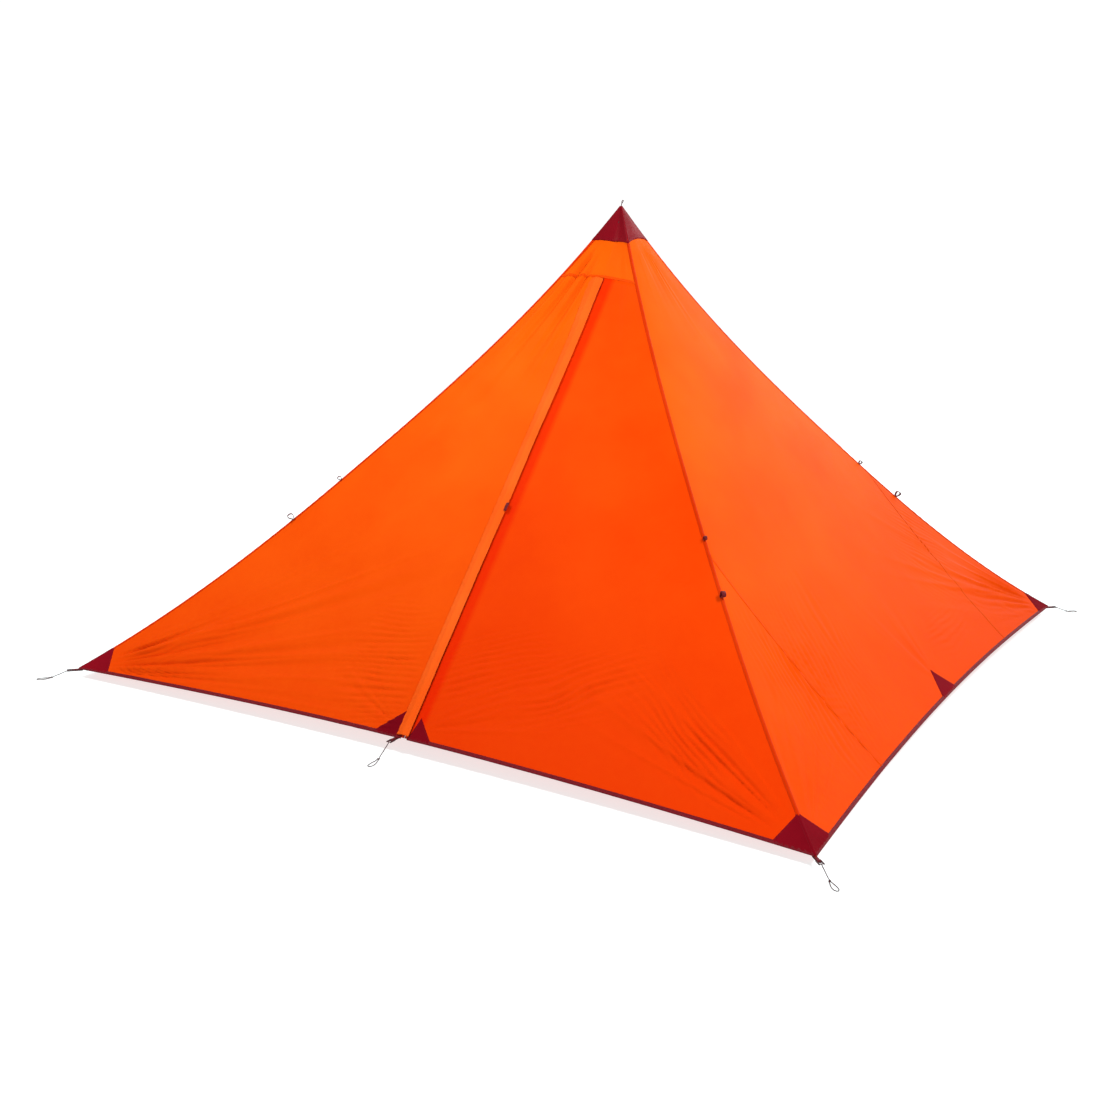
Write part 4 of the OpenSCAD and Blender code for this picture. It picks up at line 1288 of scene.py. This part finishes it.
def rounded_boxes(name, boxes, bevel, material, body, place, steps=2):
    """Boxes with rounded edges as one piece, from low and high corners that place() puts in place."""
    work = bmesh.new()
    for low, high in boxes:
        made = bmesh.ops.create_cube(work, size=1)
        for v in made["verts"]:
            v.co = Vector([low[k] if v.co[k] < 0 else high[k] for k in range(3)])
    edges = list(work.edges)
    bmesh.ops.bevel(
        work, geom=edges, offset=bevel, segments=steps, profile=0.5, affect="EDGES", clamp_overlap=True
    )
    for v in work.verts:
        v.co = Vector(place(np.array(v.co)))
    bmesh.ops.recalc_face_normals(work, faces=work.faces)
    mesh = bpy.data.meshes.new(name)
    work.to_mesh(mesh)
    work.free()
    mesh.polygons.foreach_set("use_smooth", np.ones(len(mesh.polygons), bool))
    mesh.materials.append(material)
    piece = link(name, mesh)
    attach(piece, body)
    return piece


SLIDER_UP, SLIDER_LEN, SLIDER_LEFT, SLIDER_RIGHT = 0.036, 0.012, -0.007, 0.0005
BAIL_UP, BAIL_Z, BAIL_R = SLIDER_UP + 0.006, 0.005, 0.0008


def zip_place(p):
    return on_zip(np.array(p[0]), p[1], p[2])


slider = rounded_boxes(
    "zip_slider_body",
    [
        ((SLIDER_LEFT, SLIDER_UP, 0.0016), (SLIDER_RIGHT, SLIDER_UP + SLIDER_LEN, 0.0026)),
        ((SLIDER_LEFT, SLIDER_UP, -0.0032), (SLIDER_RIGHT, SLIDER_UP + SLIDER_LEN, -0.0022)),
        ((SLIDER_RIGHT - 0.001, SLIDER_UP, -0.0032), (SLIDER_RIGHT, SLIDER_UP + SLIDER_LEN, 0.0026)),
        *(
            ((x, BAIL_UP - 0.0012, 0.002), (x + 0.0012, BAIL_UP + 0.0012, BAIL_Z + 0.0008))
            for x in (SLIDER_LEFT, SLIDER_RIGHT - 0.0012)
        ),
    ],
    0.00035, ZIP_METAL, "zip_slider", zip_place,
)  # fmt: skip
bar_x = np.linspace(SLIDER_LEFT + 0.0004, SLIDER_RIGHT - 0.0004, 6)
bar = tube_piece("zip_slider_bar", on_zip(bar_x, BAIL_UP, BAIL_Z), BAIL_R * 0.95, ZIP_METAL, "zip_slider")
stand_in(joined("zip_slider_metal", [slider, bar]), "zip_metal", "zip_slider")

# Pull: an eye round the bar, and a tongue
pull_x = (SLIDER_LEFT + SLIDER_RIGHT) / 2
eye_x = pull_x + np.array((-0.002, -0.0018, 0.0018, 0.002, 0.0018, -0.0018))
eye_r = 0.0015 + 0.00035 * np.array((0, 1, 1, 0, -1, -1))
turns = np.linspace(0, 2 * np.pi, 25)
eye_rings = [on_zip(eye_x, BAIL_UP + eye_r * math.cos(a), BAIL_Z + eye_r * math.sin(a)) for a in turns]
eye = ribbon("zip_pull_eye", eye_rings, PULL_PLASTIC, "zip_pull")
tongue_low = (pull_x - 0.0019, BAIL_UP - 0.024, BAIL_Z - 0.0006)
tongue_high = (pull_x + 0.0019, BAIL_UP - 0.0015, BAIL_Z + 0.0006)
tongue_box = [(tongue_low, tongue_high)]
tongue = rounded_boxes("zip_pull_tongue", tongue_box, 0.0005, PULL_PLASTIC, "zip_pull", zip_place, 3)
stand_in(joined("zip_pull_tab", [eye, tongue]), "zip_pull", "zip_pull")

# ---- webbing loops and line adjusters at the stake points ----

LOOP_IN, LOOP_OUT, LOOP_T, LOOP_H, WEBBING_W = 0.017, 0.020, 0.0015, 0.003, 0.010
ADJUSTER_X, ADJUSTER_LEN = 0.012, 0.025
RAIL_IN, RAIL_HALF, BAR_PLACES = WEBBING_W / 2 + 0.0008, 0.00125, (0.0135, 0.024, 0.0325)
webbing, adjusters = [], []
for stake in STAKES:
    tip = stake[3] - TIP_DROP
    r = LOOP_H - LOOP_T / 2
    path, facing = [], []
    for start, stop, centre in ((-90, 90, LOOP_OUT - LOOP_H), (90, 270, -LOOP_IN + LOOP_H)):
        for a in np.radians(np.linspace(start, stop, 9)):
            path.append((centre + r * math.cos(a), 0, tip + r * math.sin(a)))
            facing.append((math.cos(a), 0, math.sin(a)))
    path.append(path[0])
    facing.append(facing[0])
    spots = at_stake(stake, path)
    turn_spots = at_stake(stake, np.array(path) + np.array(facing))
    across = at_stake(stake, [(0, 1, 0)])[0] - at_stake(stake, [(0, 0, 0)])[0]
    webbing.append(bent_strap(f"loop_{stake[0]}", spots, turn_spots - spots, across, WEBBING_W, LOOP_T))
    boxes = []
    for side in (-1, 1):
        middle = side * (RAIL_IN + RAIL_HALF)
        low = (ADJUSTER_X, middle - RAIL_HALF, tip - 0.002)
        boxes.append((low, (ADJUSTER_X + ADJUSTER_LEN, middle + RAIL_HALF, tip + 0.002)))
    for x in BAR_PLACES:
        boxes.append(((x, -RAIL_IN - 0.0005, tip - 0.0011), (x + 0.003, RAIL_IN + 0.0005, tip + 0.0011)))
    adjusters.append(rounded_boxes(
        f"adjuster_{stake[0]}", boxes, 0.0006, ADJUSTER_PLASTIC, "canopy", lambda p: at_stake(stake, [p])[0]
    ))  # fmt: skip
    for side in (-0.0036, 0.0036):
        line = at_stake(stake, [(x, side, tip + LOOP_H) for x in np.linspace(-0.015, 0.004, 12)])
        stitches(("webbing_stitching", "canopy", MAROON_THREAD), line, (0, 0, 1))
stand_in(joined("stake_loops_webbing", webbing), "webbing", "stake_webbing")
stand_in(joined("ladder_adjusters", adjusters), "adjuster_plastic", "line_adjusters")

finish_stitches()

# ---- the pole keeps its CAD shapes, with better materials ----

POLE_MATERIALS = {
    "pole_upper_tube": POLE_METAL, "pole_middle_tube": POLE_METAL, "pole_lower_tube": POLE_METAL,
    "pole_tip": BLACK_PLASTIC, "pole_cup": BLACK_PLASTIC, "pole_foot": RUBBER,
    "upper_clamp": BLACK_PLASTIC, "lower_clamp": BLACK_PLASTIC,
    "upper_lever": LEVER_PLASTIC, "lower_lever": LEVER_PLASTIC,
    "upper_lever_pin": PIN_METAL, "lower_lever_pin": PIN_METAL,
}  # fmt: skip
for node, material in POLE_MATERIALS.items():
    for slot in frame["nodes"][node].material_slots:
        slot.material = material

# ---- floor and light ----


FLOOR_HALF = 4.6
WHITE = (1.0, 1.0, 1.0, 1.0)
FLOOR_GREY = (0.36, 0.42, 0.42, 1.0)
FLOOR_GLOW = 0.71


def add_floor():
    mesh = bpy.data.meshes.new("floor")
    corners = [(x * FLOOR_HALF, y * FLOOR_HALF, 0) for x, y in ((-1, -1), (1, -1), (1, 1), (-1, 1))]
    mesh.from_pydata(corners, [], [(0, 1, 2, 3)])
    glow = {"Emission_Color": WHITE, "Emission_Strength": FLOOR_GLOW}
    mesh.materials.append(Nodes("pale_floor").finish(FLOOR_GREY, 0.9, Specular_IOR_Level=0.0, **glow))
    link("floor", mesh)


def add_light(name, spot, target, size, power):
    data = bpy.data.lights.new(name, "AREA")
    data.shape = "SQUARE"
    data.size = size
    data.energy = power
    light = link(name, data)
    light.location = spot
    light.rotation_mode = "QUATERNION"
    light.rotation_quaternion = (Vector(target) - Vector(spot)).to_track_quat("-Z", "Y")


add_floor()
world = bpy.data.worlds.new("studio")
world.use_nodes = True
tree = world.node_tree
background = tree.nodes["Background"]
background.inputs["Color"].default_value = WHITE
# White round the horizon, where the camera sees it, and dimmer above: from and to as the sine of the height
SKY_FROM, SKY_TO, SKY_LOW, SKY_HIGH = 0.38, 0.56, 1.05, 0.26
way = tree.nodes.new("ShaderNodeTexCoord")
height = tree.nodes.new("ShaderNodeSeparateXYZ")
dim = tree.nodes.new("ShaderNodeMapRange")
for index, value in enumerate((SKY_FROM, SKY_TO, SKY_LOW, SKY_HIGH), 1):
    dim.inputs[index].default_value = value
tree.links.new(way.outputs["Generated"], height.inputs[0])
tree.links.new(height.outputs[2], dim.inputs[0])
tree.links.new(dim.outputs[0], background.inputs["Strength"])
bpy.context.scene.world = world
# Name, spot, target, size and watts
for light in (
    ("key", (3.6, -1.6, 4.2), (0, -0.3, 0.7), 0.7, 215),
    ("left_top", (-2.4, -1.8, 4.4), (-0.4, -0.6, 0.7), 0.7, 135),
    ("behind", (1.8, 6.2, 3.4), (0.4, 0.2, 1.0), 3.8, 250),
    ("back_fill", (-3.4, 3.6, 4.0), (0, 0, 0.7), 3.2, 190),
):
    add_light(*light)
bpy.context.scene.view_settings.view_transform = "Standard"
